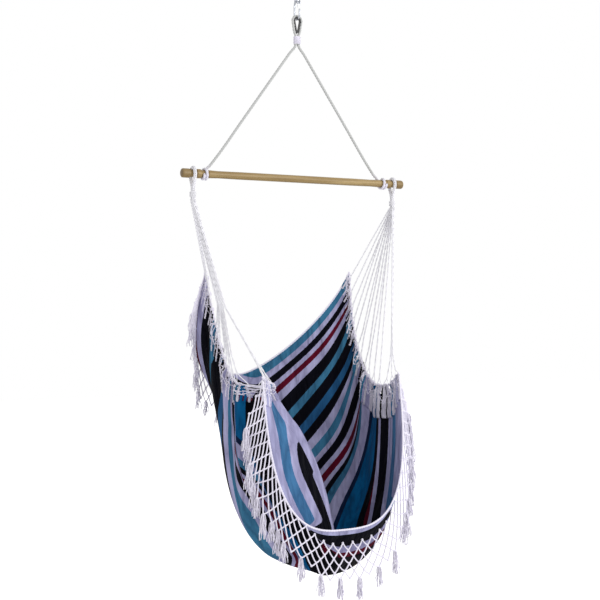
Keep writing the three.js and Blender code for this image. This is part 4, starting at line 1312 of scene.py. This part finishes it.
    def sheet(self, shares: Array, reach: Array) -> tuple[Array, Array]:
        """Points of the folded cloth and its outward normals.

        The smooth surface is moved along its normal by folds that fade with the distance d from
        the nearer end: h (1 - d / reach)^1.5 cos(2 pi n v) for the broad ones, whose waves also
        wander a little, the same with one wave for each cord for the gathers, and a low crumple
        over the whole. All of it dies away at the two open edges, where v is 0 and 1.

        Args:
            shares: share of the depth of each row, (rows,).
            reach: distances from the left end, (rows, columns), rising along the columns.

        Returns:
            Points and normals as (rows, columns, 3).
        """
        lines, lengths = self.lines(shares)
        grid = np.stack([read_line(at, run, line) for line, run, at in zip(lines, lengths, reach)])
        normal = unit(np.cross(np.gradient(grid, axis=0), np.gradient(grid, axis=1)))
        whole, v = lengths[:, -1:], shares[:, None]
        from_end = np.minimum(reach, whole - reach)
        u = reach / whole
        broad = self.fold_height * np.clip(1 - from_end / self.fold_reach, 0, 1) ** 1.5
        broad = broad * np.cos(TURN * (self.fold_count * v + 0.25 * np.sin(7 * v + 3 * u)))
        fine = self.gather_height * np.clip(1 - from_end / self.gather_reach, 0, 1) ** 1.5
        fine = fine * np.cos(TURN * self.cords * v)
        crease = self.crumple * np.sin(24 * v + 5 * np.sin(4 * u)) * np.sin(9 * u + 3 * v)
        offset = (ease(from_end / 0.03) * (broad + fine) + crease) * np.sqrt(hump(v))
        return grid + offset[..., None] * normal, normal

    def hem(self, share: float, count: int, inset: float) -> Array:
        """Evenly spaced points of the smooth curve across at one share of the depth."""
        lines, lengths = self.lines(np.array([share]))
        return read_line(np.linspace(inset, lengths[0, -1] - inset, count), lengths[0], lines[0])


# ---- Sling, nets and cords ----


@dataclass(frozen=True)
class Slip:
    """Where the cut cloth's depth lies on the hung cloth, as two rows of shares."""

    hung: tuple[float, ...]
    cut: tuple[float, ...]

    def read(self, shares: Array) -> Array:
        """The cut cloth's share at shares of the hung one."""
        return np.interp(shares, self.hung, self.cut)


@dataclass(frozen=True)
class Sling:
    """The striped cloth with its knotted end headers and the hems of its open edges."""

    hang: Hang
    finishes: Finishes
    shape: SlingShape
    across: int = 236
    along: int = 190
    thickness: float = 1.8 * MM
    header: float = 96 * MM
    pale_place: float = 0.998
    hem_radius: float = 4 * MM
    hem_inset: float = 11 * MM
    bundles_per_cord: int = 7
    bundle_radius: float = 3.7 * MM
    lashing_radius: float = 1.9 * MM
    header_lap: float = 6 * MM
    strip_steps: int = 18
    valley: tuple = (0.62, 0.93)
    plait_strand: float = 2.6 * MM
    plait_swing: float = 3.4 * MM
    plait_rise: float = 2.2 * MM
    knot_cord: float = 2.0 * MM
    knot_around: float = 6.6 * MM
    knot_length: float = 0.014
    flat_width: float = 1.5
    flat_length: float = 1.1
    limb_slip: Slip = Slip(
        (-0.1, 0, 0.06, 0.12, 0.26, 0.34, 0.43, 0.53, 0.57, 0.61)
        + (0.65, 0.74, 0.745, 0.81, 0.811, 0.882, 0.8822, 0.932, 1),
        (0.12, 0.165, 0.208, 0.24, 0.287, 0.322, 0.357, 0.393, 0.427, 0.478)
        + (0.5, 0.583, 0.743, 0.765, 0.781, 0.7995, 0.8735, 0.905, 1),
    )
    flap_slip: Slip = Slip(
        (0, 0.26, 0.5, 0.57, 0.665, 0.735, 0.75, 0.763, 0.766)
        + (0.772, 0.774, 0.81, 0.811, 0.89, 0.915, 0.934, 0.957, 1),
        (0.06, 0.25, 0.33, 0.357, 0.393, 0.427, 0.448, 0.478, 0.497)
        + (0.523, 0.743, 0.765, 0.781, 0.8, 0.845, 0.873, 0.905, 1),
    )
    seat_slip: Slip = Slip(
        (0, 0.5, 0.74, 0.76, 0.92, 0.935, 0.95, 0.965, 0.989, 0.9892, 1),
        (0, 0.48, 0.655, 0.743, 0.7655, 0.766, 0.78, 0.8, 0.8449, 0.906, 1),
    )
    right_slip: Slip = Slip((0, 0.74, 0.79, 1), (0, 0.766, 0.78, 1))
    header_slip: Slip = Slip((0, 0.772, 0.773, 1), (0, 0.7655, 0.7805, 1))
    flap_edge: float = 0.8105
    jumps: tuple = (0.74, 0.745, 0.772, 0.773, 0.774, 0.81, 0.811, 0.882, 0.8822, 0.989, 0.9892)

    def build(self) -> bpy.types.Object:
        cloth, cord, body = self._cloth(), self.finishes.cord, Body.SLING
        for edge in Edge:
            name = edge.name.lower()
            self._hem(edge).piece(f"{name}_hem_rope", body, cord, "cord", f"{name}_hem_cord")
        for side in Side:
            name = side.label
            plait, lashing, warp = self._plait(side), self._lashing(side), self._warp(side)
            plait.piece(f"end_plait_{name}", body, cord, "cord", f"end_braid_{name}")
            lashing.piece(f"end_lashing_{name}", body, cord, "cord")
            warp.piece(f"end_warp_{name}", body, self.finishes.cloth, "striped_cloth")
        # The two hems come first.
        return cloth

    def stripe_place(self, v: Array, u: Array) -> Array:
        """The share of the cut cloth's depth that lies at each point of the hung one.

        The cloth slips towards the back on the left limb, sheared along it, opens as a lapel
        lower down, slips towards the front at the bottom, and lies even on the right limb.
        Smooth steps along u join the four, later along the lip than behind it.

        Args:
            v: share of the hung cloth's depth, from back to front.
            u: share of the way across, from left to right.

        Returns:
            The place, as a share that the stripes are laid out in.
        """
        inside = hump(v)
        wave = 0.005 * np.sin(11 * u + 9 * v) * np.sin(5 * v + 2) + 0.004 * np.sin(23 * u - 14 * v)
        ripple = 0.012 * inside * rise(u, 0.7, 0.3) * (1 - rise(v, 0.8, 0.12)) * np.sin(31 * v + 9 * u)
        wave = wave * inside * (1 - rise(v, 0.75, 0.15)) + ripple
        shear = 0.225 * (1 - ease(u / 0.34)) * inside**0.6
        limb = self.limb_slip.read(v - shear * (1 - rise(v, 0.4, 0.28)))
        lip, front = rise(v, 0.88, 0.04), rise(v, 0.78, 0.06)
        turned = np.where(v > self.flap_edge, rise(u, 0.085, 0.16), ease(u / 0.32))
        upper = between(limb, self.flap_slip.read(v), turned)
        joined = ease((u - 0.42 + 0.06 * front + 0.015 * lip) / (0.14 - 0.04 * front - 0.04 * lip))
        lower = between(upper, self.seat_slip.read(v), joined)
        right = between(self.right_slip.read(v), self.header_slip.read(v), rise(u, 0.62, 0.22))
        return between(lower, right, ease((u - 0.5 - 0.13 * lip) / (0.22 - 0.12 * lip))) + wave

    def _cloth(self) -> bpy.types.Object:
        """The cloth's surface as a mesh with its stripes' places as UV, given its thickness."""
        v = np.union1d(np.linspace(0, 1, self.along + 1), self.jumps)
        u = np.linspace(0, 1, self.across + 1)
        left = self.depths(Side.LEFT, v)
        right = self.depths(Side.RIGHT, v) * (1 - 0.75 * rise(v, 0.4, 0.15))
        reach = self.shape.reaches(v, self.across + 1, left, right)
        grid, _ = self.shape.sheet(v, reach)
        share = reach / self.shape.lines(v)[1][:, -1:]
        place = self.stripe_place(np.broadcast_to(v[:, None], share.shape), share)
        shell = Shell.grid(grid.transpose(1, 0, 2), u * self.flat_width, place.T)
        cloth = self.finishes.cloth
        piece = shell.piece("sling_cloth_woven", Body.SLING, cloth, "striped_cloth", "sling_cloth")
        wall = piece.modifiers.new("Wall", "SOLIDIFY")
        wall.thickness, wall.offset = self.thickness, 0.0
        return piece

    def _hem(self, edge: Edge) -> Shell:
        """A twisted two-ply rope along an open edge."""
        line = self.shape.hem(float(edge.value), 300, self.hem_inset)
        line = smoothed(line, 3 * MM)
        return tubes(line, self.hem_radius, 12, (0, 1, 0), ply=2, pitch=22 * MM, notch=0.3)

    def depths(self, side: Side, shares: Array) -> Array:
        """Depth of an end header, in metres.

        Args:
            side: which end.
            shares: shares of the cloth's depth.

        Returns:
            The left's depth, shorter at its folded corner, or the right's, longest in its valley.
        """
        if side is Side.LEFT:
            return self.header * (1 - 0.4 * rise(shares, 0.66, 0.08) * fall(shares, 0.96, 0.05))
        return self.header * (0.62 + 0.7 * rise(shares, 0.3, 0.4) * (1 - 0.45 * rise(shares, 0.86, 0.1)))

    def _strip(self, side: Side) -> tuple[Array, Array]:
        """The end strip of the folded cloth on a fine grid, its columns counted from the plait inwards.

        Args:
            side: which end.

        Returns:
            Its points and its outward normals, (rows, columns, 3).
        """
        v = np.linspace(0, 1, 601)
        depth = (self.depths(side, v) + self.header_lap)[:, None] * np.linspace(0, 1, self.strip_steps)[None]
        whole = self.shape.lines(v)[1][:, -1:]
        reach = depth if side is Side.LEFT else whole - depth[:, ::-1]
        grid, normal = self.shape.sheet(v, reach)
        return (grid, normal) if side is Side.LEFT else (grid[:, ::-1], normal[:, ::-1])

    @staticmethod
    def _gathered(field_rows: Array, share: Array, column: Array) -> Array:
        """Values of a fine grid at shares of its rows and places along its columns, both blended.

        Args:
            field_rows: the grid, (rows, columns, 3).
            share: shares of the rows, of any shape.
            column: places along the columns, of the same shape.

        Returns:
            The grid's values there, with a last axis of three.
        """
        row = np.clip(share, 0, 1) * (field_rows.shape[0] - 1)
        low = np.clip(row.astype(int), 0, field_rows.shape[0] - 2)
        left = np.clip(column.astype(int), 0, field_rows.shape[1] - 2)
        a, b = (row - low)[..., None], (column - left)[..., None]
        near = field_rows[low, left] * (1 - a) + field_rows[low + 1, left] * a
        far = field_rows[low, left + 1] * (1 - a) + field_rows[low + 1, left + 1] * a
        return near * (1 - b) + far * b

    def _warp(self, side: Side) -> Shell:
        """Warp ends twisted into bundles, several to each cord, which they meet at its knot.

        Along a bundle the share runs from its own place at the cloth to its cord's at the plait,
        by a smooth rise, which leaves pointed holes between the cords. One bundle in three is
        undyed, and three in four in the right header's valley.

        Args:
            side: which end.

        Returns:
            The bundles as closed tubes.
        """
        grid, _ = self._strip(side)
        index, sides = np.arange(self.shape.cords * self.bundles_per_cord), 10
        own = (index + 0.5) / len(index)
        cord = (index // self.bundles_per_cord + 0.5) / self.shape.cords
        far = np.linspace(0, 1, 20)
        share = cord[:, None] + (own - cord)[:, None] * (0.6 + 0.4 * ease(far * 1.5))[None]
        column = np.broadcast_to(0.4 + far * 16.2, share.shape)
        paths = self._gathered(grid, share, column)
        thick = 1 + 0.45 * rise(own, 0.35, 0.2) * (1 if side is Side.RIGHT else 0.4)
        uneven = 1.1 + 0.3 * far + 0.22 * np.sin(9 * far + 1.0)
        radius = self.bundle_radius * thick[:, None] * uneven[None]
        shell = tubes(paths, radius, sides, (0.2, 0.4, 1), ply=2, pitch=16 * MM, notch=0.35)
        end = self.depths(side, own) / self.shape.lines(own)[1][:, -1]
        place = self.stripe_place(own, end if side is Side.LEFT else 1 - end)
        valley = (side is Side.RIGHT) & (own > self.valley[0]) & (own < self.valley[1])
        pale = np.where(valley, index % 4 != 1, index % 3 == 1)
        place = np.where(pale, self.pale_place, place)
        walls, caps = place.repeat((len(far) - 1) * sides * 4), place.repeat(2 * sides)
        shell.uv[:, 1] = np.concatenate([walls, caps])
        return shell

    def _lashing(self, side: Side) -> Shell:
        """Cord twined in rows over and under the bundles, and crossed between the rows.

        A row runs along the edge at one depth, counted in columns of the strip, and rises and
        falls by one wave for two bundles. The crossed cords run to and fro between the rows.

        Args:
            side: which end.

        Returns:
            The cords as closed tubes.
        """
        grid, normal = self._strip(side)
        share = np.linspace(0.004, 0.996, 760)
        waves = math.pi * (self.shape.cords * self.bundles_per_cord) * share

        def laid(column: Array, lift: Array | float) -> Array:
            """A cord along the strip at places along its columns, lifted off the cloth."""
            out = np.asarray(lift)[..., None] if np.ndim(lift) else lift
            return self._gathered(grid, share, column) + out * self._gathered(normal, share, column)

        cords = [
            laid(depth + 0.25 * np.sin(waves / 2), hand * (self.bundle_radius + 0.6 * MM) * np.cos(waves))
            for depth, hand in ((2.6, 1), (3.1, -1), (5.6, 1), (6.1, -1), (8.8, 1), (9.3, -1))
        ]
        saw = np.abs((share * self.shape.cords * 1.5) % 2 - 1)
        over = self.bundle_radius + 1.2 * MM
        cords += [laid(1.0 + 8.3 * way, hand * over) for way, hand in ((1 - saw, 1), (saw, -1))]
        return tubes(np.stack(cords), self.lashing_radius, 6, (0.3, 0.2, 1), ply=2, pitch=7 * MM, notch=0.3)

    def _plait(self, side: Side) -> Shell:
        """A three-strand plait along an end edge, with a wrapped knot where each cord ties on.

        Plait strand k lies off the line by a sin(f + 2 pi k / 3) across and b sin(2f + 4 pi k / 3) out.

        Args:
            side: which end.

        Returns:
            The plait and its knots as closed tubes.
        """
        share = np.linspace(0, 1, 420)
        line = self.shape.end_line(side, share)
        _, normal, away = frames(line, (1.0, 0, 0))
        turn = TURN * (share * self.shape.cords + np.arange(3)[:, None] / 3)
        strands = line + (self.plait_swing * np.sin(turn))[..., None] * away
        strands = strands + (self.plait_rise * np.sin(2 * turn))[..., None] * normal
        plait = tubes(strands, self.plait_strand, 8, (1, 0, 0), ply=2, pitch=8 * MM, notch=0.25)
        turn = np.linspace(0, 3 * TURN, 49)
        at = self.shape.cord_shares[:, None] + (turn / turn[-1] - 0.5)[None] * self.knot_length
        centre = self.shape.end_line(side, at.ravel()).reshape(*at.shape, 3)
        _, normal, away = frames(centre, (1.0, 0, 0))
        wound = centre + self.knot_around * (np.cos(turn)[:, None] * normal + np.sin(turn)[:, None] * away)
        return Shell.joined([plait, tubes(wound, self.knot_cord, 6, (0.3, 0.2, 1))])


@dataclass(frozen=True)
class Clews:
    """The bundles over the bar, their whippings and the cords that fan out to the cloth."""

    hang: Hang
    finishes: Finishes
    shape: SlingShape
    bundle_radius: float = 6.4 * MM
    bundle_clear: float = 8 * MM
    neck_radius: float = 10.5 * MM
    strand_radius: float = 1.65 * MM
    row_pitch: float = 4.7 * MM
    whipping_cord: float = 1.6 * MM
    whipping_turns: int = 6
    string_radius: float = 1.9 * MM
    string_turns: int = 13
    closeness: tuple = (0.95, 0.6)
    band_pitch: float = 2.2 * MM
    split_share: float = 0.95
    foot_share: float = 0.35
    left_runs: tuple = (0.64, 0.88)
    right_runs: tuple = (0.6, 0.86)
    left_groups: tuple = ("AAABBBBBBBBBBB", "AAABBBCCCCCDDD")
    right_groups: tuple = ("ABCDEFGHIJKLLL", "ABCDEFFGGHIJJJ")

    def build(self) -> None:
        """Builds both sides."""
        cord, body = self.finishes.clew, Body.SLING
        for side in Side:
            name = side.label
            self._bundle(side).piece(f"clew_bundle_{name}", body, cord, "cord", f"clew_loop_{name}")
            self._whipping(side).piece(f"clew_wound_{name}", body, cord, "cord", f"clew_whipping_{name}")
            for index in range(self.shape.cords):
                label, strings = f"{name}_{index + 1:02d}", self._strings(side, index)
                strings.piece(f"clew_strings_{label}", body, cord, "cord", f"clew_cord_{label}")

    def starts(self, side: Side) -> Array:
        """Where each cord leaves the neck, in three rows from front to back.

        Args:
            side: which neck.

        Returns:
            One point for each cord.
        """
        index = np.arange(self.shape.cords)
        row, spread = index % 3 - 1, (self.shape.cords - 1) / 2 - index
        x = side.value * self.hang.clew_seat + row * self.row_pitch
        return np.stack([x, spread * self.row_pitch / 3.2, self.hang.neck_bottom + 0 * x], -1)

    def _bundle(self, side: Side) -> Shell:
        """Strands that climb from the neck in front, go over the bar and down behind it.

        Args:
            side: which end of the bar.

        Returns:
            The strands as closed tubes.
        """
        hang = self.hang
        ring = hang.groove_radius + hang.gap + self.bundle_clear
        front = circle(-np.linspace(math.pi / 2 + 0.3, 0, 16), ring, (0, 0, -hang.bar_drop), (2, 1))
        low = [(0, -self.bundle_radius * 0.55, hang.neck_bottom)]
        low += [(0, -self.bundle_radius * 0.7, hang.neck_top)]
        half = smoothed(np.concatenate([low, front]), 2 * MM)
        middle = np.concatenate([half, (half * (1, -1, 1))[-2::-1]])
        _, normal, across = frames(middle, (1.0, 0, 0))
        places = packed_disc(self.shape.cords, self.bundle_radius)
        twist = np.linspace(0, math.pi, len(middle))[None]
        x = places[:, :1] * np.cos(twist) - places[:, 1:] * np.sin(twist)
        y = places[:, :1] * np.sin(twist) + places[:, 1:] * np.cos(twist)
        paths = middle + x[..., None] * normal + y[..., None] * across
        loose = rise(paths[..., 2], hang.neck_bottom, hang.neck_top - hang.neck_bottom + 20 * MM)
        reach = np.hypot(paths[..., 0], paths[..., 1])
        limit = np.minimum(1, (self.neck_radius - self.strand_radius) / np.maximum(reach, 1e-6))
        paths[..., :2] *= (limit + (1 - limit) * loose)[..., None]
        paths[..., 0] += side.value * hang.clew_seat
        return tubes(paths, self.strand_radius, 8, (1, 0, 0), ply=2, pitch=7 * MM, notch=0.3)

    def _whipping(self, side: Side) -> Shell:
        """Cord wound close round the neck.

        Args:
            side: which neck.

        Returns:
            The cord as a closed tube.
        """
        around = self.neck_radius + self.hang.gap + self.whipping_cord / 2
        turn = np.linspace(0, TURN * self.whipping_turns, 32 * self.whipping_turns)
        start = self.hang.neck_bottom + 7 * MM
        z = start + np.linspace(0, 2.15 * self.whipping_cord * self.whipping_turns, len(turn))
        path = circle(turn, around, (side.value * self.hang.clew_seat, 0, z))
        return tubes(path, self.whipping_cord, 8, (0, 0, 1), ply=2, pitch=6 * MM, notch=0.25)

    def middle_line(self, side: Side, index: int, part: Array) -> Array:
        """A cord's middle line: beside a large group, then beside a small one, then on its own.

        It is straight between its start, the two points where the groups part and its end. Each
        such point lies on the way from the last one to the middle of its group's ends.

        Args:
            side: which end.
            index: the cord's number, from the back.
            part: shares of the way from the neck to the plait.

        Returns:
            Points of the line, in metres.
        """
        ends = self.shape.end_line(side, self.shape.cord_shares)
        points, last = [self.starts(side)[index]], 0.0
        runs, tables = self.left_runs, self.left_groups
        if side is Side.RIGHT:
            runs, tables = self.right_runs, self.right_groups
        for run, closeness, names in zip(runs, self.closeness, tables):
            mates = np.flatnonzero(np.array(list(names)) == names[index])
            middle = mix(ends[index], ends[mates].mean(0), closeness)
            beside = self.band_pitch * (mates.mean() - index) * side.value * (0.5 if last else 1)
            points.append(mix(points[-1], middle, (run - last) / (1 - last)) + np.array((beside, 0, 0)))
            last = run
        points.append(ends[index])
        return read_line(part, [0, *runs, 1], points)

    def _strings(self, side: Side, index: int) -> Shell:
        """Two strings wound round each other from the neck, which part at the plait to hold it.

        Args:
            side: which end.
            index: the cord's number, from the back.

        Returns:
            The strings as closed tubes.
        """
        split = self.split_share
        part = np.concatenate([np.linspace(0, split, 60), np.linspace(split, 1, 7)[1:]])
        path = self.middle_line(side, index, part)
        bend = 1.2 * MM * hump(part) * math.sin(5 * index + side.value)
        path = path + bend[:, None] * np.array((0.3, 1.0, 0))
        tip = rise(part, split, 1 - split)
        strings = []
        for hand in (-1, 1):
            foot = np.clip((index + 0.5 + hand * self.foot_share) / self.shape.cords, 0, 1)
            end = self.shape.end_line(side, np.array([foot]))[0]
            turn = TURN * part * self.string_turns + index
            wound = path + hand * circle(turn, self.string_radius * 0.95 * (1 - tip))
            strings.append(wound + tip[:, None] * (end - path[-1]))
        return tubes(np.stack(strings), self.string_radius, 6, (1, 0.2, 0), ply=2, pitch=5 * MM, notch=0.25)


@dataclass(frozen=True)
class Fall:
    """How a net falls from its hem: sideways where the hem stands, down where it lies.

    Attributes:
        hang: how far it leans to the front (below 0) or the back for each metre down.
        left: the way it falls at the left end, where the hem stands.
        low_left: the same past the turn.
        right: the same at the right end.
        turned_down: how far its roots are drawn down under the seat.
        longer: how much longer it is at the left, as a share.
        turn: share of the hem at which the left way begins to change.
        turn_width: share of the hem over which it changes.
    """

    hang: float
    left: tuple[float, float, float]
    low_left: tuple[float, float, float]
    right: tuple[float, float, float]
    turned_down: float = 0.0
    longer: float = 0.0
    turn: float = 0.17
    turn_width: float = 0.1


@dataclass(frozen=True)
class Fringe:
    """A knotted diamond net along an open edge of the cloth, ending in tassels."""

    hang: Hang
    finishes: Finishes
    shape: SlingShape
    edge: Edge
    fall: Fall
    columns: int = 34
    rows: int = 5
    drop: float = 132 * MM
    hem_radius: float = 4 * MM
    hem_inset: float = 13 * MM
    string_radius: float = 2.7 * MM
    knot_radius: float = 4.6 * MM
    tassel_every: int = 2
    tassel_strings: int = 19
    tassel_string_radius: float = 1.5 * MM
    tassel_length: float = 72 * MM
    tassel_spread: float = 14 * MM
    bow_share: float = 0.16
    plumb_share: float = 0.85
    curl: float = 0.35
    thick_share: float = 0.6

    def build(self) -> bpy.types.Object:
        """Builds the net with its knots and tassels as one piece."""
        name = self.edge.name.lower()
        roots, ways = self._roots()
        net = Shell.joined([self._net(roots, ways), self._knots(roots, ways), self._tassels(roots, ways)])
        return net.piece(f"{name}_net", Body.SLING, self.finishes.cord, "cord", f"{name}_fringe")

    def _roots(self) -> tuple[Array, Array]:
        """Where the net hangs on its hem and the way it falls, at every half column."""
        count = 2 * self.columns + 1
        line = self.shape.hem(float(self.edge.value), count, self.hem_inset)
        tangent = unit(np.gradient(line, axis=0))
        steep = tangent[:, 2] ** 2
        share = np.linspace(0, 1, count)
        hung, hand = self.fall, math.copysign(1, self.fall.hang)
        out = mix(np.array(hung.left), np.array(hung.low_left), rise(share, hung.turn, hung.turn_width))
        out = out + (np.array(hung.right) - out) * rise(share, 0.35, 0.3)[:, None]
        ways = unit(mix(np.array((0, hung.hang, -1.0)), out, steep))
        away = mix(np.array((0, hand, 0)), ways, steep)
        away = unit(away - (away * tangent).sum(-1, keepdims=True) * tangent)
        low = hung.turned_down * rise(share, 0.36, 0.12) * fall(share, 0.86, 0.16)
        under = low[:, None] * np.array((0, -0.45 * hand, -1))
        return line + self.hem_radius * 0.7 * away + under, ways

    def _at(self, roots: Array, ways: Array, column: Array, row: Array) -> Array:
        """Points of the net's surface at columns and rows, which wave a little as they fall.

        Args:
            roots: where it hangs on its hem, at every half column.
            ways: the way it falls there.
            column: columns of the points.
            row: their rows, 0 at the hem.

        Returns:
            The points, in metres.
        """
        index = np.clip(np.round(2 * column).astype(int), 0, len(roots) - 1)
        part = np.asarray(row, float) / self.rows
        left = 1 - rise(index / (len(roots) - 1), 0.2, 0.16)
        point = roots[index] + (self.drop * (1 + self.fall.longer * left) * part)[..., None] * ways[index]
        freedom = 1 + 1.2 * left * (self.fall.longer > 0)
        sway = part * np.sin(1.7 * column + 0.9 * np.asarray(row, float)) * freedom
        return point + sway[..., None] * np.array((5 * MM, 7 * MM, 3 * MM))

    def _net(self, roots: Array, ways: Array) -> Shell:
        """The strings of all the diamonds, each sagging a little between its two knots.

        Args:
            roots: where the net hangs on its hem, at every half column.
            ways: the way it falls there.

        Returns:
            The strings as closed tubes.
        """
        starts, ends = [], []
        for row in range(self.rows):
            column = np.arange(self.columns + (row + 1) % 2) + (row % 2) / 2
            for hand in (-0.5, 0.5):
                keep = (column + hand >= 0) & (column + hand <= self.columns)
                starts.append(self._at(roots, ways, column[keep], np.full(keep.sum(), row)))
                ends.append(self._at(roots, ways, column[keep] + hand, np.full(keep.sum(), row + 1)))
        a, b = np.concatenate(starts)[:, None], np.concatenate(ends)[:, None]
        share = np.linspace(0, 1, 6)[None, :, None]
        bow = self.bow_share * np.linalg.norm(b - a, axis=-1, keepdims=True) * hump(share)
        paths = a + (b - a) * share + bow * DOWN * 0.6
        return tubes(paths, self.string_radius, 6, (0.31, 0.87, 0.11))

    def _knots(self, roots: Array, ways: Array) -> Shell:
        """A small round knot at each crossing: a ball of four by seven faces.

        Args:
            roots: where the net hangs on its hem, at every half column.
            ways: the way it falls there.

        Returns:
            The closed knots.
        """
        centres = []
        for row in range(self.rows + 1):
            column = np.arange(self.columns + (row + 1) % 2) + (row % 2) / 2
            centres.append(self._at(roots, ways, column, np.full(len(column), row)))
        centre = np.concatenate(centres)[:, None, None]
        tilt = np.linspace(0.25, math.pi - 0.25, 5)[:, None]
        ball = circle(np.arange(7)[None] * TURN / 7, np.sin(tilt), (0, 0, -np.cos(tilt)))
        grid = centre + self.knot_radius * ball
        return Shell.grid(grid, np.linspace(0, 1, 5) * MM, np.arange(8) / 7, wrap=True, caps=True)

    def _tassels(self, roots: Array, ways: Array) -> Shell:
        """Bunches of loose strings below the last row, drawn sideways together in clumps.

        Args:
            roots: where the net hangs on its hem, at every half column.
            ways: the way it falls there.

        Returns:
            The strings as closed tubes.
        """
        place = np.arange(self.columns + (self.rows + 1) % 2)
        thick = np.abs(2 * place - self.columns) > (1 - self.thick_share) * self.columns
        column = place[(place % self.tassel_every == 0) | thick] + (self.rows % 2) / 2
        root = self._at(roots, ways, column, np.full(len(column), self.rows))
        index = np.clip(np.round(2 * column).astype(int), 0, len(roots) - 1)
        way = unit(mix(ways[index], DOWN, self.plumb_share))
        disc = packed_disc(self.tassel_strings, 1.0)
        share = np.linspace(0, 1, 8)
        bunch = np.arange(len(column))[:, None]
        string = np.arange(self.tassel_strings)[None]
        uneven = 1 + 0.14 * np.sin(2.9 * bunch) + 0.16 * np.sin(2.3 * bunch + 1.9 * string)
        length = self.tassel_length * uneven
        spread = self.tassel_spread * (0.35 + 0.65 * share**0.8)
        curl = self.curl * np.sin(5 * share[None, None] + bunch[..., None] + string[..., None])
        x = (disc[None, :, :1] + curl) * spread
        y = (disc[None, :, 1:] + curl[..., ::-1]) * spread
        paths = root[:, None, None] + (length[..., None] * share)[..., None] * way[:, None, None]
        paths = paths + np.stack([x, y, np.zeros_like(x)], -1)
        return tubes(paths.reshape(-1, len(share), 3), self.tassel_string_radius, 5, (1, 0.3, 0))


# ---- Studio ----


@dataclass(frozen=True)
class Studio:
    """Pale floor, plain world, soft lamps and the photograph's camera."""

    azimuth: float = math.radians(-30)
    distance: float = 5.0
    height: float = -1.217
    focal_pixels: float = 1270.0
    frame_pixels: float = 600.0
    axis_column: float = 297.0
    floor_height: float = -2.72

    def build(self) -> None:
        """Sets the view, the camera, the lights and the floor."""
        bpy.context.scene.view_settings.view_transform = "Standard"
        self._camera()
        self._world()
        self._lamps()
        self._floor()

    def _camera(self) -> None:
        """A level camera on the photograph's side."""
        lens = bpy.data.cameras.new("Camera")
        lens.sensor_width = 36.0
        lens.lens = self.focal_pixels / self.frame_pixels * lens.sensor_width
        lens.shift_x = 0.5 - self.axis_column / self.frame_pixels
        lens.clip_end = 60.0
        camera = placed_object("Camera", lens)
        x, y = math.sin(self.azimuth) * self.distance, -math.cos(self.azimuth) * self.distance
        camera.location = (x, y, self.height)
        camera.rotation_euler = (math.pi / 2, 0, self.azimuth)
        bpy.context.scene.camera = camera

    def _world(self) -> None:
        """White to the camera and in reflections, a softer grey-white as light."""
        bpy.context.scene.world = bpy.data.worlds.new("World")
        graph = blank_graph(bpy.context.scene.world)
        rays = graph.node("ShaderNodeLightPath").outputs
        mirrored = graph.maths("MAXIMUM", rays["Is Glossy Ray"], rays["Is Transmission Ray"])
        seen = graph.maths("MAXIMUM", rays["Is Camera Ray"], mirrored)
        strength = graph.scaled(seen, 0.2, 0.8)
        light = graph.node("ShaderNodeBackground", {"Color": (1, 1, 1, 1), "Strength": strength})
        graph.node("ShaderNodeOutputWorld", {0: light.outputs[0]})

    def _lamps(self) -> None:
        """A large key from the front right, a weak fill from the left."""
        for name, angle, up, reach, size, power in (
            ("Key", math.radians(22), 1.3, 4.2, 2.4, 90.0),
            ("Fill", math.radians(-95), 0.3, 4.5, 2.4, 12.0),
        ):
            lamp = bpy.data.lights.new(name, "AREA")
            lamp.size, lamp.energy = size, power
            holder = placed_object(name, lamp)
            holder.location = (math.sin(angle) * reach, -math.cos(angle) * reach, self.height + up)
            holder.rotation_euler = (math.pi / 2 - math.atan2(up, reach), 0, angle)

    def _floor(self) -> None:
        """A wide pale floor that takes the chair's shadow and reads white to the camera."""
        reach = 14.0
        mesh = bpy.data.meshes.new("floor")
        corners = [(-reach, -reach), (reach, -reach), (reach, reach), (-reach, reach)]
        mesh.from_pydata([(x, y, self.floor_height) for x, y in corners], [], [(0, 1, 2, 3)])
        floor = placed_object("floor", mesh)
        material = bpy.data.materials.new("Floor")
        graph = blank_graph(material)
        rays = graph.node("ShaderNodeLightPath").outputs
        paint = graph.node("ShaderNodeBsdfDiffuse", {"Color": (0.9, 0.9, 0.9, 1)})
        seen = graph.times(rays["Is Camera Ray"], 0.55)
        glow = graph.node("ShaderNodeEmission", {"Color": (1, 1, 1, 1), "Strength": seen})
        both = graph.node("ShaderNodeAddShader", {0: paint.outputs[0], 1: glow.outputs[0]})
        graph.node("ShaderNodeOutputMaterial", {0: both.outputs[0]})
        mesh.materials.append(material)


def main() -> None:
    """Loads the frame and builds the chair."""
    logging.basicConfig(level=logging.INFO, format="%(name)s %(message)s")
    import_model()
    hang, shape = Hang(), SlingShape()
    Studio().build()
    finishes = Finishes()
    SnapHook(hang, finishes).build()
    Bridle(hang, finishes).build()
    Sling(hang, finishes, shape).build()
    Clews(hang, finishes, shape).build()
    front = Fall(
        hang=-0.12, left=(-0.34, 0.18, -0.92), low_left=(-0.12, 0.08, -0.99), right=(0.36, 0.1, -0.9),
        turned_down=52 * MM, longer=0.16,
    )
    back = Fall(
        hang=0.15, left=(-0.34, 0.1, -0.94), low_left=(0.15, 0.12, -0.98), right=(0.15, 0.45, -0.88),
        turn=0.03, turn_width=0.17,
    )
    Fringe(hang, finishes, shape, Edge.FRONT, front).build()
    Fringe(
        hang, finishes, shape, Edge.BACK, back, columns=36, drop=150 * MM, string_radius=2.1 * MM,
        tassel_strings=9, tassel_length=56 * MM, thick_share=0,
    ).build()


if __name__ == "__main__":
    main()
